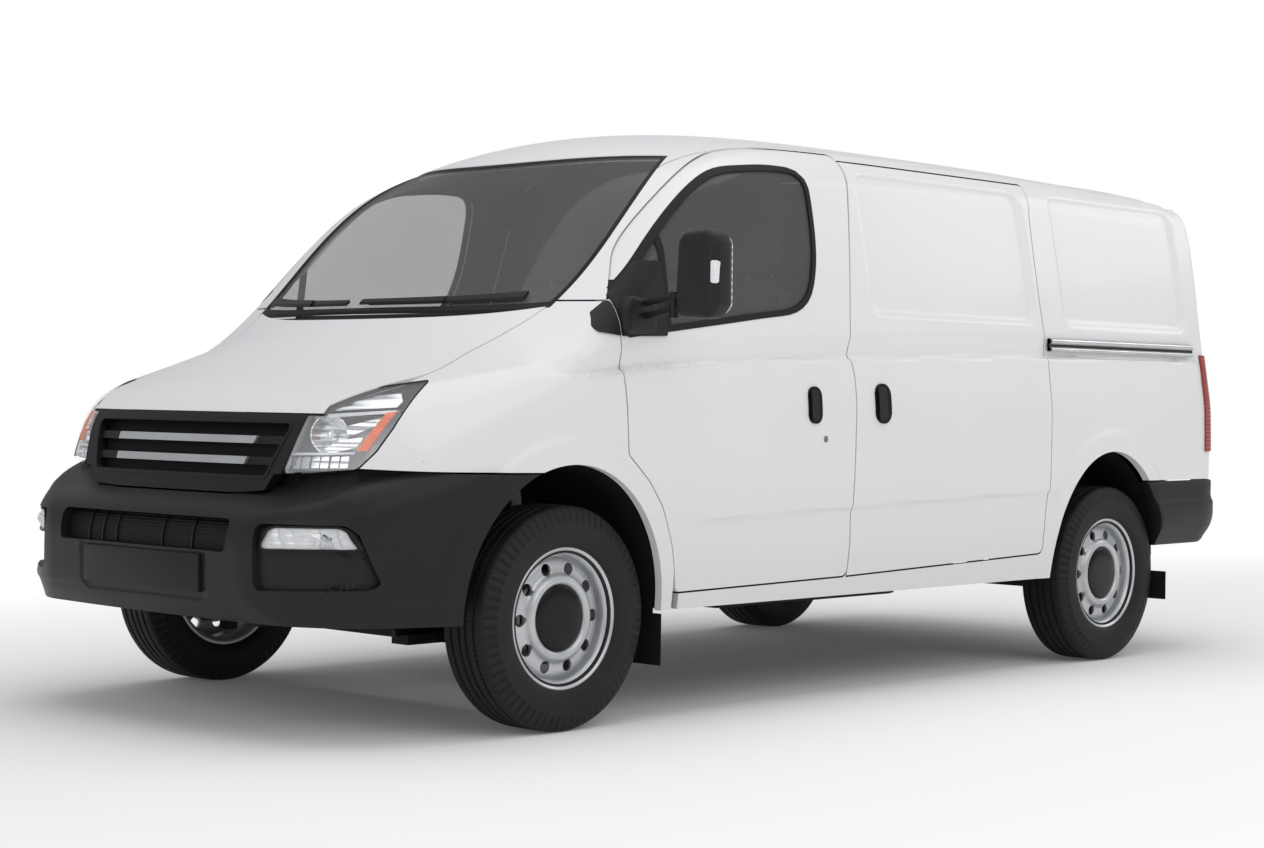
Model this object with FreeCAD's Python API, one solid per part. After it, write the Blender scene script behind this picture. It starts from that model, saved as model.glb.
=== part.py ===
"""Panel van with a short wheelbase and a low roof, in millimetres.

+X points forwards, +Y to the van's left and +Z up. The origin is on the ground, under the middle of
the van's length and width.

The outside of the body is one smooth form. It is drawn as a lines plan: planes are set across the
body, upright over the load space and fanned out over the nose and the tail, and each of them cuts
the form in a section. The skin is laid over the sections in flat facets. Doors, wings, bonnet and
roof are cut from the hollow skin with a gap between them, as the real panels are.
"""
import FreeCAD
import Part
import math
import os

V = FreeCAD.Vector
X, Y, Z = V(1, 0, 0), V(0, 1, 0), V(0, 0, 1)
LEFT, RIGHT = 1, -1

# Overall sizes
length = 4950.0
wheelbase = 3100.0
track = 1720.0
roof_height = 2030.0
half_length = length / 2
front_axle_x = wheelbase / 2
rear_axle_x = -wheelbase / 2

# Body walls and gaps
wall = 45.0
roof_wall = 30.0
wing_wall = 20.0
lamp_depth = 70.0
liner_wall = 6.0
gap = 6.0
trim_gap = 3.0
glass_depth = 4.0
glass_thickness = 5.0
pressing_depth = 16.0
lip_height = 10.0
lip_width = 42.0

# How finely round forms are divided into flats
wheel_flats = 24
arch_flats = 24
corner_flat = 32.0

# Wheels
tyre_radius = 352.0
tyre_width = 205.0
tread_width = 168.0
rim_radius = 220.0
bead_radius = 203.0
rim_width = 172.0
disc_face = 42.0
disc_thickness = 8.0
cap_radius = 108.0
vent_circle_radius = 158.0
vent_radius = 19.5
vent_count = 10
hub_radius = 70.0

# Arches
arch_front_x = front_axle_x + 8
arch_rear_x = rear_axle_x + 45
arch_half_length = 412.0
arch_front_height = 478.0
arch_rear_height = 495.0

# Heights that the panels share
sill_bottom = 356.0
door_bottom_front = 412.0
door_bottom_rear = 457.0
tail_door_bottom = 600.0
tail_corner_top = 722.0
tail_door_top = 1893.0
side_step_z = 1348.0
roof_half_width = 690.0


def mirrored(shape):
    """The shape on the other side of the van."""
    return shape.mirror(V(0, 0, 0), Y)


def fused(*shapes):
    """One solid from shapes that overlap or touch."""
    joined = shapes[0].multiFuse(list(shapes[1:])) if len(shapes) > 1 else shapes[0]
    return joined.removeSplitter()


def largest(shape):
    """The largest solid of a shape, without the offcuts."""
    return max(shape.Solids, key=lambda solid: solid.Volume)


def pair(shape):
    """A left-hand piece together with its right-hand copy."""
    return Part.makeCompound([shape, mirrored(shape)])


def box(x0, x1, y0, y1, z0, z1):
    """A box between three pairs of limits."""
    return Part.makeBox(x1 - x0, y1 - y0, z1 - z0, V(x0, y0, z0))


def side_box(side, x0, x1, y0, y1, z0, z1):
    """A box on one side of the van, with its Y limits counted outwards."""
    low, high = sorted((side * y0, side * y1))
    return box(x0, x1, low, high, z0, z1)


def flat_face(points):
    """A flat face inside a closed run of points."""
    return Part.Face(Part.makePolygon(points + points[:1]))


def rounded(points):
    """The corners of an outline, where each corner that has a radius is rounded with a few flats."""
    corners = []
    for i, (corner, radius) in enumerate(points):
        if radius <= 0:
            corners.append(corner)
            continue
        back = (points[i - 1][0] - corner).normalize()
        ahead = (points[(i + 1) % len(points)][0] - corner).normalize()
        half = back.getAngle(ahead) / 2
        turn = math.pi - 2 * half
        centre = corner + (back + ahead).normalize() * (radius / math.sin(half))
        start = corner + back * (radius / math.tan(half)) - centre
        end = corner + ahead * (radius / math.tan(half)) - centre
        flats = max(1, round(math.degrees(turn) / corner_flat))
        for k in range(flats + 1):
            swept = turn * k / flats
            corners.append(centre + (start * math.sin(turn - swept) + end * math.sin(swept)) / math.sin(turn))
    return corners


def side_prism(outline, y0, y1):
    """A prism across the van from corners (x, z, radius)."""
    return flat_face(rounded([(V(x, y0, z), r) for x, z, r in outline])).extrude(V(0, y1 - y0, 0))


def plan_prism(outline, z0, z1):
    """An upright prism from corners (x, y, radius)."""
    return flat_face(rounded([(V(x, y, z0), r) for x, y, r in outline])).extrude(V(0, 0, z1 - z0))


def end_prism(outline, x0, x1):
    """A lengthwise prism from corners (y, z, radius)."""
    return flat_face(rounded([(V(x0, y, z), r) for y, z, r in outline])).extrude(V(x1 - x0, 0, 0))


def sharp(points):
    """Corners without rounding, from pairs."""
    return [(a, b, 0) for a, b in points]


def rod(radius, start, direction, run, flats=12):
    """A round bar with flats, from a start along a direction."""
    axis = V(direction).normalize()
    across = axis.cross(X if abs(axis.x) < 0.9 else Z).normalize()
    other = axis.cross(across)
    ring = []
    for i in range(flats):
        angle = 2 * math.pi * (i + 0.5) / flats
        ring.append(start + across * (radius * math.cos(angle)) + other * (radius * math.sin(angle)))
    return flat_face(ring).extrude(axis * run)


def turned(profile, flats=wheel_flats):
    """A body of revolution about Y with flats, from corners (radius, y) that go once round its section."""
    rings = []
    for radius, y in profile:
        if radius == 0:
            rings.append([V(0, y, 0)] * (flats + 1))
            continue
        angles = [2 * math.pi * i / flats - math.pi / 2 for i in range(flats + 1)]
        ring = [V(radius * math.cos(a), y, radius * math.sin(a)) for a in angles[:-1]]
        rings.append(ring + ring[:1])
    faces = []
    for (here, there) in zip(rings, rings[1:] + rings[:1]):
        for i in range(flats):
            corners = []
            for point in (here[i], here[i + 1], there[i + 1], there[i]):
                if not any((point - c).Length < 1e-6 for c in corners):
                    corners.append(point)
            if len(corners) > 2:
                faces.append(flat_face(corners))
    return closed_solid(faces)


def offset_outline(outline, distance):
    """The outline (a, b, radius) moved outwards by a distance, with its corners kept sharp."""
    count = len(outline)
    area = sum(outline[i - 1][0] * outline[i][1] - outline[i][0] * outline[i - 1][1] for i in range(count))
    turn = 1 if area > 0 else -1
    moved = []
    for i, (a, b, radius) in enumerate(outline):
        before, after = outline[i - 1], outline[(i + 1) % count]
        normals = []
        for (a0, b0), (a1, b1) in (((before[0], before[1]), (a, b)), ((a, b), (after[0], after[1]))):
            run = math.hypot(a1 - a0, b1 - b0)
            normals.append((turn * (b1 - b0) / run, -turn * (a1 - a0) / run))
        (na, nb), (ma, mb) = normals
        scale = distance / (1 + na * ma + nb * mb)
        grown = max(radius + distance, 0) if radius else 0
        moved.append((a + (na + ma) * scale, b + (nb + mb) * scale, grown))
    return moved


def between(table, at):
    """The value of a table of (place, value) at a place, on straight runs."""
    if at <= table[0][0]:
        return table[0][1]
    for (a, value_a), (b, value_b) in zip(table, table[1:]):
        if at <= b:
            return value_a + (value_b - value_a) * (at - a) / (b - a)
    return table[-1][1]


class Skin:
    """A smooth closed form: a long profile in the middle plane, sides at a half width, a crown across
    the profile, and edges rounded where the two meet."""

    def __init__(self, profile, half_width, crown, edge_radius):
        self.curve = Part.BSplineCurve()
        self.curve.interpolate([V(x, 0, z) for x, z in profile])
        self.half_width = half_width
        self.crown = crown
        self.edge_radius = edge_radius

    def depth(self, x, y, z, level):
        """How far a point lies inside the skin that is set in by a level."""
        parameter = self.curve.parameter(V(x, 0, z))
        near = self.curve.value(parameter)
        along = self.curve.tangent(parameter)[0]
        inward = V(along.z, 0, -along.x)
        top = (V(x, 0, z) - near).dot(inward) - self.crown(near.x, near.z) * (y / 1000.0) ** 2 - level
        side = self.half_width(x, z) - abs(y) - level
        radius = max(self.edge_radius(near.x, near.z) - level, 4.0)
        if top < radius and side < radius:
            return radius - math.hypot(radius - top, radius - side)
        return min(top, side)

    def reach(self, origin, direction, start, angle, level):
        """The point where a ray in a section plane meets the skin."""
        low, high = 0.0, 3200.0
        rise, out = math.sin(angle), math.cos(angle)
        for _ in range(22):
            run = (low + high) / 2
            along = start + run * rise
            x, z = origin[0] + direction[0] * along, origin[1] + direction[1] * along
            if self.depth(x, run * out, z, level) > 0:
                low = run
            else:
                high = run
        along = start + low * rise
        return V(origin[0] + direction[0] * along, low * out, origin[1] + direction[1] * along)

    def section(self, origin, direction, start, level, rows):
        """Points of half a section, from the lower edge up to the middle plane.
        They are spaced evenly up the side, closely round the edge and evenly over the top."""
        rays = 40
        angles = [math.pi / 2 * i / rays for i in range(rays + 1)]
        points = [self.reach(origin, direction, start, a, level) for a in angles]
        lengths = [0.0]
        for p, q in zip(points, points[1:]):
            lengths.append(lengths[-1] + (q - p).Length)
        outward = V(direction[0], 0, direction[1])
        corner = [p.dot(outward) + p.y for p in points]
        edge = max(range(1, rays), key=lambda i: corner[i])
        spread = rows["spread"]
        before, peak, after = corner[edge - 1:edge + 2]
        shift = (before - after) / (2 * (before - 2 * peak + after))
        edge_at = between([(-1, lengths[edge - 1]), (0, lengths[edge]), (1, lengths[edge + 1])], shift)
        edge_at = min(max(edge_at, spread * 1.2), lengths[-1] - spread * 1.2)
        places = [(edge_at - spread) * i / rows["side"] for i in range(rows["side"])]
        places += [edge_at - spread + 2 * spread * i / rows["edge"] for i in range(rows["edge"] + 1)]
        rest = lengths[-1] - edge_at - spread
        places += [edge_at + spread + rest * i / rows["top"] for i in range(1, rows["top"] + 1)]
        turns = list(zip(lengths, angles))
        return [self.reach(origin, direction, start, between(turns, place), level) for place in places]

    def solid(self, stations, rows, level=0.0):
        """The solid inside the skin that is set in by a level, with flat facets between the sections."""
        grid = []
        for origin, direction, start in stations:
            half = self.section(origin, direction, start, level, rows)
            middle = V(half[-1].x, 0, half[-1].z)
            grid.append(half[:-1] + [middle] + [V(p.x, -p.y, p.z) for p in half[-2::-1]])
        faces = []
        for here, there in zip(grid, grid[1:]):
            for i in range(len(here) - 1):
                a, b, c, d = here[i], here[i + 1], there[i + 1], there[i]
                if i < len(here) // 2:
                    faces += [flat_face([a, b, c]), flat_face([a, c, d])]
                else:
                    faces += [flat_face([a, b, d]), flat_face([b, c, d])]
            faces.append(flat_face([here[0], here[-1], there[-1], there[0]]))
        faces += [flat_face(grid[0]), flat_face(grid[-1])]
        return closed_solid(faces)


def fan(pivot, start, angles):
    """Section planes that turn about a pivot (x, z), at angles in degrees above the +X direction."""
    return [(pivot, (math.cos(math.radians(a)), math.sin(math.radians(a))), start) for a in angles]


def closed_solid(faces):
    """A solid from faces that close a space."""
    shell = Part.Shell(faces)
    shell.sewShape()
    solid = Part.Solid(shell)
    if solid.Volume < 0:
        solid.reverse()
    return solid


# The body's skin
tail_x = -2385.0
nose_x = 2345.0
header = (930.0, 1885.0)
cowl = (1640.0, 1298.0)
bonnet_front = (2262.0, 985.0)
side_profile = [
    (tail_x + 25, 200), (tail_x, 900), (tail_x + 10, 1500), (tail_x + 50, 1910), (tail_x + 95, 1972),
    (tail_x + 175, roof_height - 28), (-1200, roof_height + 2), (0, roof_height), (450, roof_height - 27),
    (720, roof_height - 72), header, (1290, 1600), cowl, (1800, 1222), (2060, 1105), bonnet_front,
    (2300, 915), (nose_x, 760), (nose_x + 22, 600), (nose_x + 22, 400), (nose_x + 12, 200)]
side_bulge = [(200, 940), (350, 968), (600, 992), (800, 999), (1000, 996), (1150, 978), (1300, 955),
              (1500, 925), (1700, 888), (1880, 850), (2060, 812)]
edge_radii = [(-2250, 60), (-2000, 100), (500, 100), (1000, 60), (1640, 60), (2000, 150), (2250, 260)]


def body_half_width(x, z):
    """Half the body's width: tumblehome above the waist, and a taper to the nose and tail."""
    width = between(side_bulge, z)
    if x > 1200:
        width -= 260 * ((x - 1200) / 1150.0) ** 3
    if x < -2000:
        width -= 20 * ((-2000 - x) / 400.0) ** 2
    return width


def body_crown(x, z):
    """How far a surface bows, in mm at 1 m from the middle."""
    return 60.0 if x < -2200 else 175.0


body = Skin(side_profile, body_half_width, body_crown, lambda x, z: between(edge_radii, x))
tail_pivot = (-1900, -300)
nose_pivot = (1700, -300)
section_start = 350
load_stations = [((x, -300), (0, 1), section_start) for x in (-1900, -700, 450)]
fine_stations = (
    fan(tail_pivot, section_start, (124, 107, 103, 101.2, 99.4, 97)) + load_stations
    + fan(nose_pivot, section_start,
          (115, 110, 107, 100, 94, 91.5, 88, 82, 76, 71.5, 68, 64, 59, 52, 46, 40)))
coarse_stations = (
    fan(tail_pivot, section_start, (124, 107, 101.2, 97)) + [load_stations[0], load_stations[2]]
    + fan(nose_pivot, section_start, (115, 110, 108, 98, 92, 86, 76, 68.5, 64.5, 58, 46, 40)))
fine_rows = {"side": 4, "edge": 5, "top": 2, "spread": 105.0}
coarse_rows = {"side": 3, "edge": 2, "top": 2, "spread": 90.0}
sides = (("left", LEFT), ("right", RIGHT))


# Outlines of the panels, each as corners (first, second, rounding radius)
door_rear_edge = [(60, 1500 + 416), (130, 1500), (178, 1190), (165, 1116), (192, 425)]
door_front_edge = [(1080, door_bottom_front, 25), (1110, 560, 60), (1161, 690, 60), (1228, 775, 60),
                   (1322, 858, 30), (1334, 1112, 0), (1332, 1345, 12)]
door_top_edge = [(1150, 1574, 0), (986, 1720, 0), (806, 1820, 0), (618, 1880, 0), (475, 1905, 0)]
door_outline = (door_front_edge + door_top_edge + [door_rear_edge[0] + (40,)]
                + sharp(door_rear_edge[1:4]) + [door_rear_edge[4] + (25,)])
window_outline = [(1306, 1233, 12), (1306, 1376, 12), (1112, 1556, 0), (940, 1706, 0), (824, 1776, 0),
                  (692, 1822, 0), (560, 1844, 0), (320, 1848, 40), (286, 1760, 0), (301, 1567, 0),
                  (345, 1405, 60), (450, 1325, 60)]
sliding_rear_edge = [(-1180, 1880, 40), (-1077, 1660, 0), (-1071, 1384, 0), (-1057, 1214, 0),
                     (-1053, 700, 60), (-1030, 570, 60), (-1024, door_bottom_rear, 25)]
sliding_outline = (sharp([(x - gap, z) for x, z in door_rear_edge[:0:-1]])
                   + [(door_rear_edge[0][0] - gap, 1895, 40)] + sliding_rear_edge)
slider_recess = [(12, 1347, 55), (12, 1853, 55), (-1010, 1853, 55), (-1010, 1347, 55)]
quarter_recess = [(-1225, 1348, 55), (-1225, 1855, 55), (-2150, 1855, 55), (-2150, 1348, 55)]
rear_door_outline = [(gap / 2, tail_door_bottom, 10), (gap / 2, tail_door_top, 10), (800, tail_door_top, 90),
                             (868, 1500, 0), (876, 900, 0), (876, tail_corner_top + 10, 10),
                     (748, tail_corner_top + 10, 20), (740, tail_door_bottom, 20)]
rear_recess = [(95, 1330, 50), (95, 1800, 50), (735, 1800, 60), (770, 1330, 50)]
bonnet_side = [(1440, 732), (1564, 692), (1714, 682), (1875, 699), (2008, 558), (2101, 492), (2158, 486)]
bonnet_rear_middle = 1662.0
screen_rear = (781.0, 984.0, 640.0)
screen_front = (1432.0, 1602.0, 742.0)
screen_side = [(870, 682), (960, 717), (1140, 755), (1290, 760)]
headlamp_outline = [(-905, 792, 20), (-835, 980, 12), (-798, 1020, 12), (-689, 1053, 0), (-492, 1083, 6),
                    (-515, 1037, 20), (-563, 937, 40), (-606, 869, 40), (-656, 819, 25), (-718, 800, 40)]
headlamp_direction = V(0.82, 0.572, 0)
grille_outline = [(520, 1000), (488, 752), (300, 738), (-300, 738), (-488, 752), (-520, 1000)]
bumper_top = [(1200, 790), (760, 812), (716, 815), (480, 792), (452, 744), (300, 730)]
intake_outline = [(-420, 565, 20), (420, 565, 20), (420, 662, 20), (-420, 662, 20)]
fog_low, fog_high = 450.0, 655.0
fog_recess = [(386, fog_low, 20), (700, fog_low + 10, 0), (806, fog_low + 50, 30), (815, fog_high + 9, 20),
              (600, fog_high, 0), (386, fog_high - 10, 20)]
fog_trim = [(2402, 372), (2360, 520), (2280, 680), (2160, 820)]


def ellipse_prism(x, z, half_long, half_high, y0, y1):
    """A prism across the van with an elliptic outline in flats about a point of its side view."""
    angles = [2 * math.pi * (i + 0.5) / arch_flats for i in range(arch_flats)]
    ring = [(x + half_long * math.cos(a), z + half_high * math.sin(a)) for a in angles]
    return side_prism(sharp(ring), y0, y1)


def arch(x, height, extra, y0, y1):
    """The prism of a wheel arch, wider than the opening by some margin."""
    return ellipse_prism(x, tyre_radius, arch_half_length + extra, height + extra, y0, y1)


def arches(extra, y0, y1):
    """Prisms of the front and the rear wheel arch on one side."""
    front = arch(arch_front_x, arch_front_height, extra, y0, y1)
    return front, arch(arch_rear_x, arch_rear_height, extra, y0, y1)


def bow(side_x, middle_x, half_y, flats=6):
    """Corners of a bowed line in plan, from the right to the left."""
    shares = [2.0 * i / flats - 1 for i in range(flats + 1)]
    return [(middle_x + (side_x - middle_x) * s * s, half_y * s) for s in shares]


def windscreen_area(margin):
    """The windscreen's outline in plan, grown by a margin."""
    rear = bow(screen_rear[0] - margin, screen_rear[1] - margin, screen_rear[2] + margin * 0.6)
    front = bow(screen_front[0] + margin, screen_front[1] + margin, screen_front[2] + margin)
    left = [(x, y + margin) for x, y in screen_side]
    return plan_prism(sharp(rear + left + front[::-1] + [(x, -y) for x, y in left[::-1]]), 1000, 2200)


def bonnet_area(margin):
    """The bonnet's outline in plan, grown by a margin."""
    left = [(x, y + margin) for x, y in bonnet_side[1:-1]]
    rear = bow(bonnet_side[0][0] - margin, bonnet_rear_middle - margin, bonnet_side[0][1] + margin)
    front = bow(bonnet_side[-1][0] + margin, bonnet_front[0] + margin, bonnet_side[-1][1] + margin)
    return plan_prism(sharp(rear + left + front[::-1] + [(x, -y) for x, y in left[::-1]]), 900, 1500)


def headlamp_area(margin):
    """The left headlamp's outline, seen along its own direction and grown by a margin."""
    across = V(-headlamp_direction.y, headlamp_direction.x, 0)
    corners = []
    for along, z, radius in offset_outline(headlamp_outline, margin):
        corners.append((headlamp_direction * 1700 + across * along + Z * z, radius))
    return flat_face(rounded(corners)).extrude(headlamp_direction * 800)


def bumper_zone(margin):
    """The space of the front bumper, up to the line where it meets wings, lamps and grille."""
    line = [(y, z + margin) for y, z in bumper_top]
    outline = [(1200, 200)] + line + [(-y, z) for y, z in line[::-1]] + [(-1200, 200)]
    return end_prism(sharp(outline), 1560, 2600)


def roof_zone(margin):
    """The space of the roof between its gutters."""
    half = roof_half_width + margin
    return box(-2600, 1200, -half, half, 1700, 2300)


def tail_door_gap():
    """The space of both rear doors with the gap round them."""
    grown = end_prism(offset_outline(rear_door_outline, gap), -2600, -2230)
    return grown.fuse(mirrored(grown))


# The skin and its levels
outer = body.solid(fine_stations, fine_rows)
inner = body.solid(coarse_stations, coarse_rows, wall)
thin_inner = body.solid(coarse_stations, coarse_rows, wing_wall)
roof_inner = body.solid(coarse_stations, coarse_rows, roof_wall)
lamp_inner = body.solid(coarse_stations, coarse_rows, lamp_depth)
proud = body.solid(fine_stations, fine_rows, -lip_height)
pressed = body.solid(fine_stations, fine_rows, pressing_depth)
glass_outer = body.solid(fine_stations, fine_rows, glass_depth)
glass_inner = body.solid(fine_stations, fine_rows, glass_depth + glass_thickness)

# The waist's valley and the pressed blank windows
valley_section = [(1100, 1106), (984, 1106), (966, 1150), (969, 1205), (1100, 1206)]
valley = flat_face([V(-2180, y, z) for y, z in valley_section]).extrude(V(1334 + 2180, 0, 0))
recess = side_prism(slider_recess, 500, 1200).fuse(side_prism(quarter_recess, 500, 1200)).cut(pressed)
tail_recess = end_prism(rear_recess, -2600, -2200).cut(pressed)
outer = outer.common(box(-2600, 2600, -1200, 1200, sill_bottom, 2300))
for cutter in (valley, recess, tail_recess):
    outer = outer.cut(cutter.fuse(mirrored(cutter)))


def arch_lip(x, height):
    """The raised lip round a wheel arch on the left."""
    ring = arch(x, height, lip_width, 500, 1200).common(box(-2600, 2600, 500, 1200, sill_bottom, 1000))
    return proud.common(ring)


def make_roof():
    """The roof, from the windscreen to the header over the rear doors, between the gutters."""
    roof = outer.common(roof_zone(0)).cut(roof_inner).cut(windscreen_area(gap)).cut(tail_door_gap())
    return largest(roof.common(box(-2600, 984, -1200, 1200, 1790, 2200)))


def make_side(side):
    """A side of the body, from the windscreen's pillar to the rear corner, with its door openings."""
    panel = outer.fuse(arch_lip(arch_rear_x, arch_rear_height))
    panel = panel.common(box(-2600, 1600, 300, 1200, sill_bottom, 2300))
    panel = panel.cut(inner).cut(roof_zone(gap)).cut(windscreen_area(gap)).cut(tail_door_gap())
    panel = panel.cut(box(1060, 1700, -1200, 1200, 0, side_step_z))
    panel = panel.cut(box(-2600, -2100, -1200, 1200, 0, tail_door_bottom))
    panel = panel.cut(arches(0, 500, 1200)[1]).cut(side_prism(offset_outline(door_outline, gap), 300, 1200))
    if side == LEFT:
        panel = panel.cut(side_prism(offset_outline(sliding_outline, gap), 300, 1200))
    panel = largest(panel)
    return panel if side == LEFT else mirrored(panel)


def make_front_door(side):
    """A front door with its window opening and its handle."""
    door = outer.common(side_prism(door_outline, 300, 1200)).cut(inner).cut(roof_zone(gap))
    door = door.cut(side_prism(window_outline, 300, 1200))
    door = fused(largest(door), box(374, 404, 970, 1018, 962, 1080))
    return door if side == LEFT else mirrored(door)


def make_door_glass(side):
    """The pane that fills a front door's window."""
    pane = largest(glass_outer.common(side_prism(window_outline, 500, 1200)).cut(glass_inner))
    return pane if side == LEFT else mirrored(pane)


def make_sliding_door():
    """The sliding door on the left, with its handle."""
    door = outer.common(side_prism(sliding_outline, 300, 1200)).cut(inner).cut(roof_zone(gap))
    return fused(largest(door), box(-40, 60, 970, 1010, 965, 1095))


rear_hinge_x, rear_hinge_y = -2352.0, 879.0
rear_hinge_heights = (760, 1150, 1600)


def make_rear_door(side):
    """One of the two rear doors, with its hinges."""
    door = largest(outer.common(end_prism(rear_door_outline, -2600, -2230)).cut(inner).cut(roof_zone(gap)))
    parts = []
    for z in rear_hinge_heights:
        parts.append(rod(9, V(rear_hinge_x, rear_hinge_y, z), Z, 70, 8))
        parts.append(box(rear_hinge_x - 4, rear_hinge_x + 25, 800, rear_hinge_y - 8, z, z + 70))
    parts.append(Part.makeCylinder(5, 6, V(rear_hinge_x, rear_hinge_y, rear_hinge_heights[-1] + 70), Z))
    door = fused(door, *parts)
    return door if side == LEFT else mirrored(door)


def make_wings():
    """The front wings with their raised arch lips."""
    line = [(x, y + gap) for x, y in bonnet_side[:4]]
    zone = [(1098, 1200), (1098, screen_front[2] + gap)] + line + [(2600, line[-1][1]), (2600, 1200)]
    wing = outer.fuse(arch_lip(arch_front_x, arch_front_height))
    wing = wing.common(plan_prism(sharp(zone), 200, side_step_z - gap))
    wing = wing.cut(thin_inner).cut(side_prism(offset_outline(door_outline, gap), 300, 1200))
    wing = wing.cut(arches(0, 500, 1200)[0]).cut(bonnet_area(gap)).cut(headlamp_area(trim_gap))
    return pair(largest(wing.cut(windscreen_area(gap)).cut(bumper_zone(gap))))


def make_bonnet():
    """The bonnet, which swings up about its rear corners."""
    return largest(outer.common(bonnet_area(0)).cut(thin_inner))


def make_headlamps():
    """The headlamps."""
    lamp = outer.common(headlamp_area(0)).cut(lamp_inner)
    return pair(largest(lamp.cut(bonnet_area(trim_gap)).cut(bumper_zone(trim_gap))))


def make_grille():
    """The grille between the headlamps: a frame round a lattice of bars."""
    face = outer.common(end_prism(sharp(grille_outline), 2050, 2600)).cut(lamp_inner)
    lamps = headlamp_area(trim_gap)
    face = face.cut(bonnet_area(trim_gap)).cut(bumper_zone(trim_gap)).cut(lamps).cut(mirrored(lamps))
    slots = []
    for i in range(4):
        low = 768 + 50 * i
        for k in range(4):
            left = 420 + 10 * i - (840 + 20 * i) / 4 * k
            slots.append(box(2000, 2600, left - (840 + 20 * i) / 4 + 10, left, low, low + 34))
    return largest(face.cut(slots[0].multiFuse(slots[1:])))


def make_windscreen():
    """The windscreen."""
    pane = glass_outer.common(windscreen_area(0)).cut(glass_inner)
    return largest(pane.common(box(0, 2000, -900, 900, 1200, 1900)))


def make_cowl():
    """The scuttle between windscreen and bonnet."""
    area = windscreen_area(130).cut(windscreen_area(trim_gap)).cut(bonnet_area(gap))
    piece = pressed.common(area).common(box(1430, 1760, -720, 720, 1200, 1420)).cut(lamp_inner)
    return largest(piece)


# The front bumper's own skin
bumper_wall = 14.0
bumper_profile = [(1600, 1010), (1900, 918), (2150, 830), (2250, 790), (2330, 745), (2400, 712),
                  (2450, 670), (half_length - 2, 600), (half_length, 520), (half_length - 4, 440),
                  (2450, 385), (2415, 348), (2380, 300)]
bumper_corners = [(2300, 90), (2475, 230)]


def bumper_half_width(x, z):
    """Half the bumper's width, a little proud of the wings."""
    return body_half_width(x, 700) + between([(1700, 4), (2100, 26), (2475, 48)], x)


bumper = Skin(bumper_profile, bumper_half_width, lambda x, z: 60.0, lambda x, z: between(bumper_corners, x))
bumper_stations = fan((1500, 150), 180, (100, 75, 50, 41, 36, 32, 28, 23, 18, 13, 8))
bumper_rows = {"side": 2, "edge": 5, "top": 2, "spread": 150.0}
bumper_outer = bumper.solid(bumper_stations, bumper_rows)
bumper_inner = bumper.solid(bumper_stations, bumper_rows, bumper_wall)


def make_front_bumper():
    """The front bumper, with its air intake and its fog lamp recesses."""
    shell = bumper_outer.common(bumper_zone(0)).common(box(1560, 2600, -1200, 1200, sill_bottom, 900))
    shell = shell.cut(bumper_inner).cut(arches(0, 500, 1200)[0]).cut(mirrored(arches(0, 500, 1200)[0]))
    shell = shell.cut(end_prism(intake_outline, 2200, 2600))
    recess = end_prism(fog_recess, 2050, 2600)
    return largest(shell.cut(recess).cut(mirrored(recess)))


def make_fog_lamps():
    """The fog lamps, with the trim that closes each recess of the bumper."""
    behind = [(x - 14, y - 8) for x, y in fog_trim[::-1]]
    ahead = [(x + 18, y + 10) for x, y in fog_trim]
    trim = plan_prism(sharp(fog_trim + behind), fog_low - 4, fog_high + 4)
    lens = plan_prism(sharp(ahead + fog_trim[::-1]), fog_high - 80, fog_high - 14)
    return pair(fused(trim, lens).common(bumper_inner))


rear_bumper_bottom, rear_bumper_top = 408.0, tail_corner_top
body_corner = outer.multiFuse([box(-2335, 0, 0, 930, sill_bottom, 1000).common(inner),
                               arch_lip(arch_rear_x, arch_rear_height)])


def make_rear_bumper():
    """The rear bumper: a step across the tail, with high corners that run forwards to the arches."""
    plan = [(-half_length, 0), (-half_length, 600), (-half_length + 13, 780), (-half_length + 40, 880),
            (-half_length + 95, 955), (-half_length + 185, 994), (-1960, 1008), (-1925, 1004), (-1925, 0)]
    half = plan_prism(sharp(plan), rear_bumper_bottom, rear_bumper_top).cut(arches(0, 500, 1200)[1])
    half = half.cut(body_corner).cut(box(-2600, 0, -1, rear_hinge_y + 12, tail_door_bottom - gap, 800))
    half = half.cut(box(-2380, 0, -1, 930, 300, 800))
    rise = [(-2600, 300), (-2600, 520), (-half_length, 500), (-2430, 440), (-1900, rear_bumper_bottom),
            (-1900, 300)]
    half = half.cut(side_prism(sharp(rise), -1, 1200))
    return largest(fused(half, mirrored(half)))


def make_tail_lamps():
    """The tail lamps, upright on the rear corners."""
    zone = [(-2600, 842, 0), (-2600, 1250, 0), (-2236, 1250, 0), (-2236, 842, 0)]
    block = side_prism(zone, 300, 1200).cut(tail_door_gap())
    return pair(largest(proud.common(block).cut(outer).cut(inner)))


def make_slide_rail():
    """The rail that the sliding door runs on."""
    zone = side_prism(sharp([(-2180, 1244), (-2180, 1288), (-1082, 1288), (-1082, 1244)]), 500, 1200)
    return largest(proud.common(zone).cut(outer).cut(inner))


# Wheels, built at the origin with their axle along Y and their outer side at +Y
rim_edge = rim_width / 2
flange = 6.0
bead_seat = rim_edge - flange


def make_tyre():
    """A tyre with rounded shoulders, from bead to bead."""
    half, tread = tyre_width / 2, tread_width / 2
    right = [(bead_radius, -bead_seat), (rim_radius + 3, -bead_seat), (255, -half + 2), (285, -half),
             (325, -half + 9), (346, -tread + 4), (tyre_radius, -tread + 40)]
    return turned(right + [(r, -y) for r, y in right[::-1]])


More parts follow.
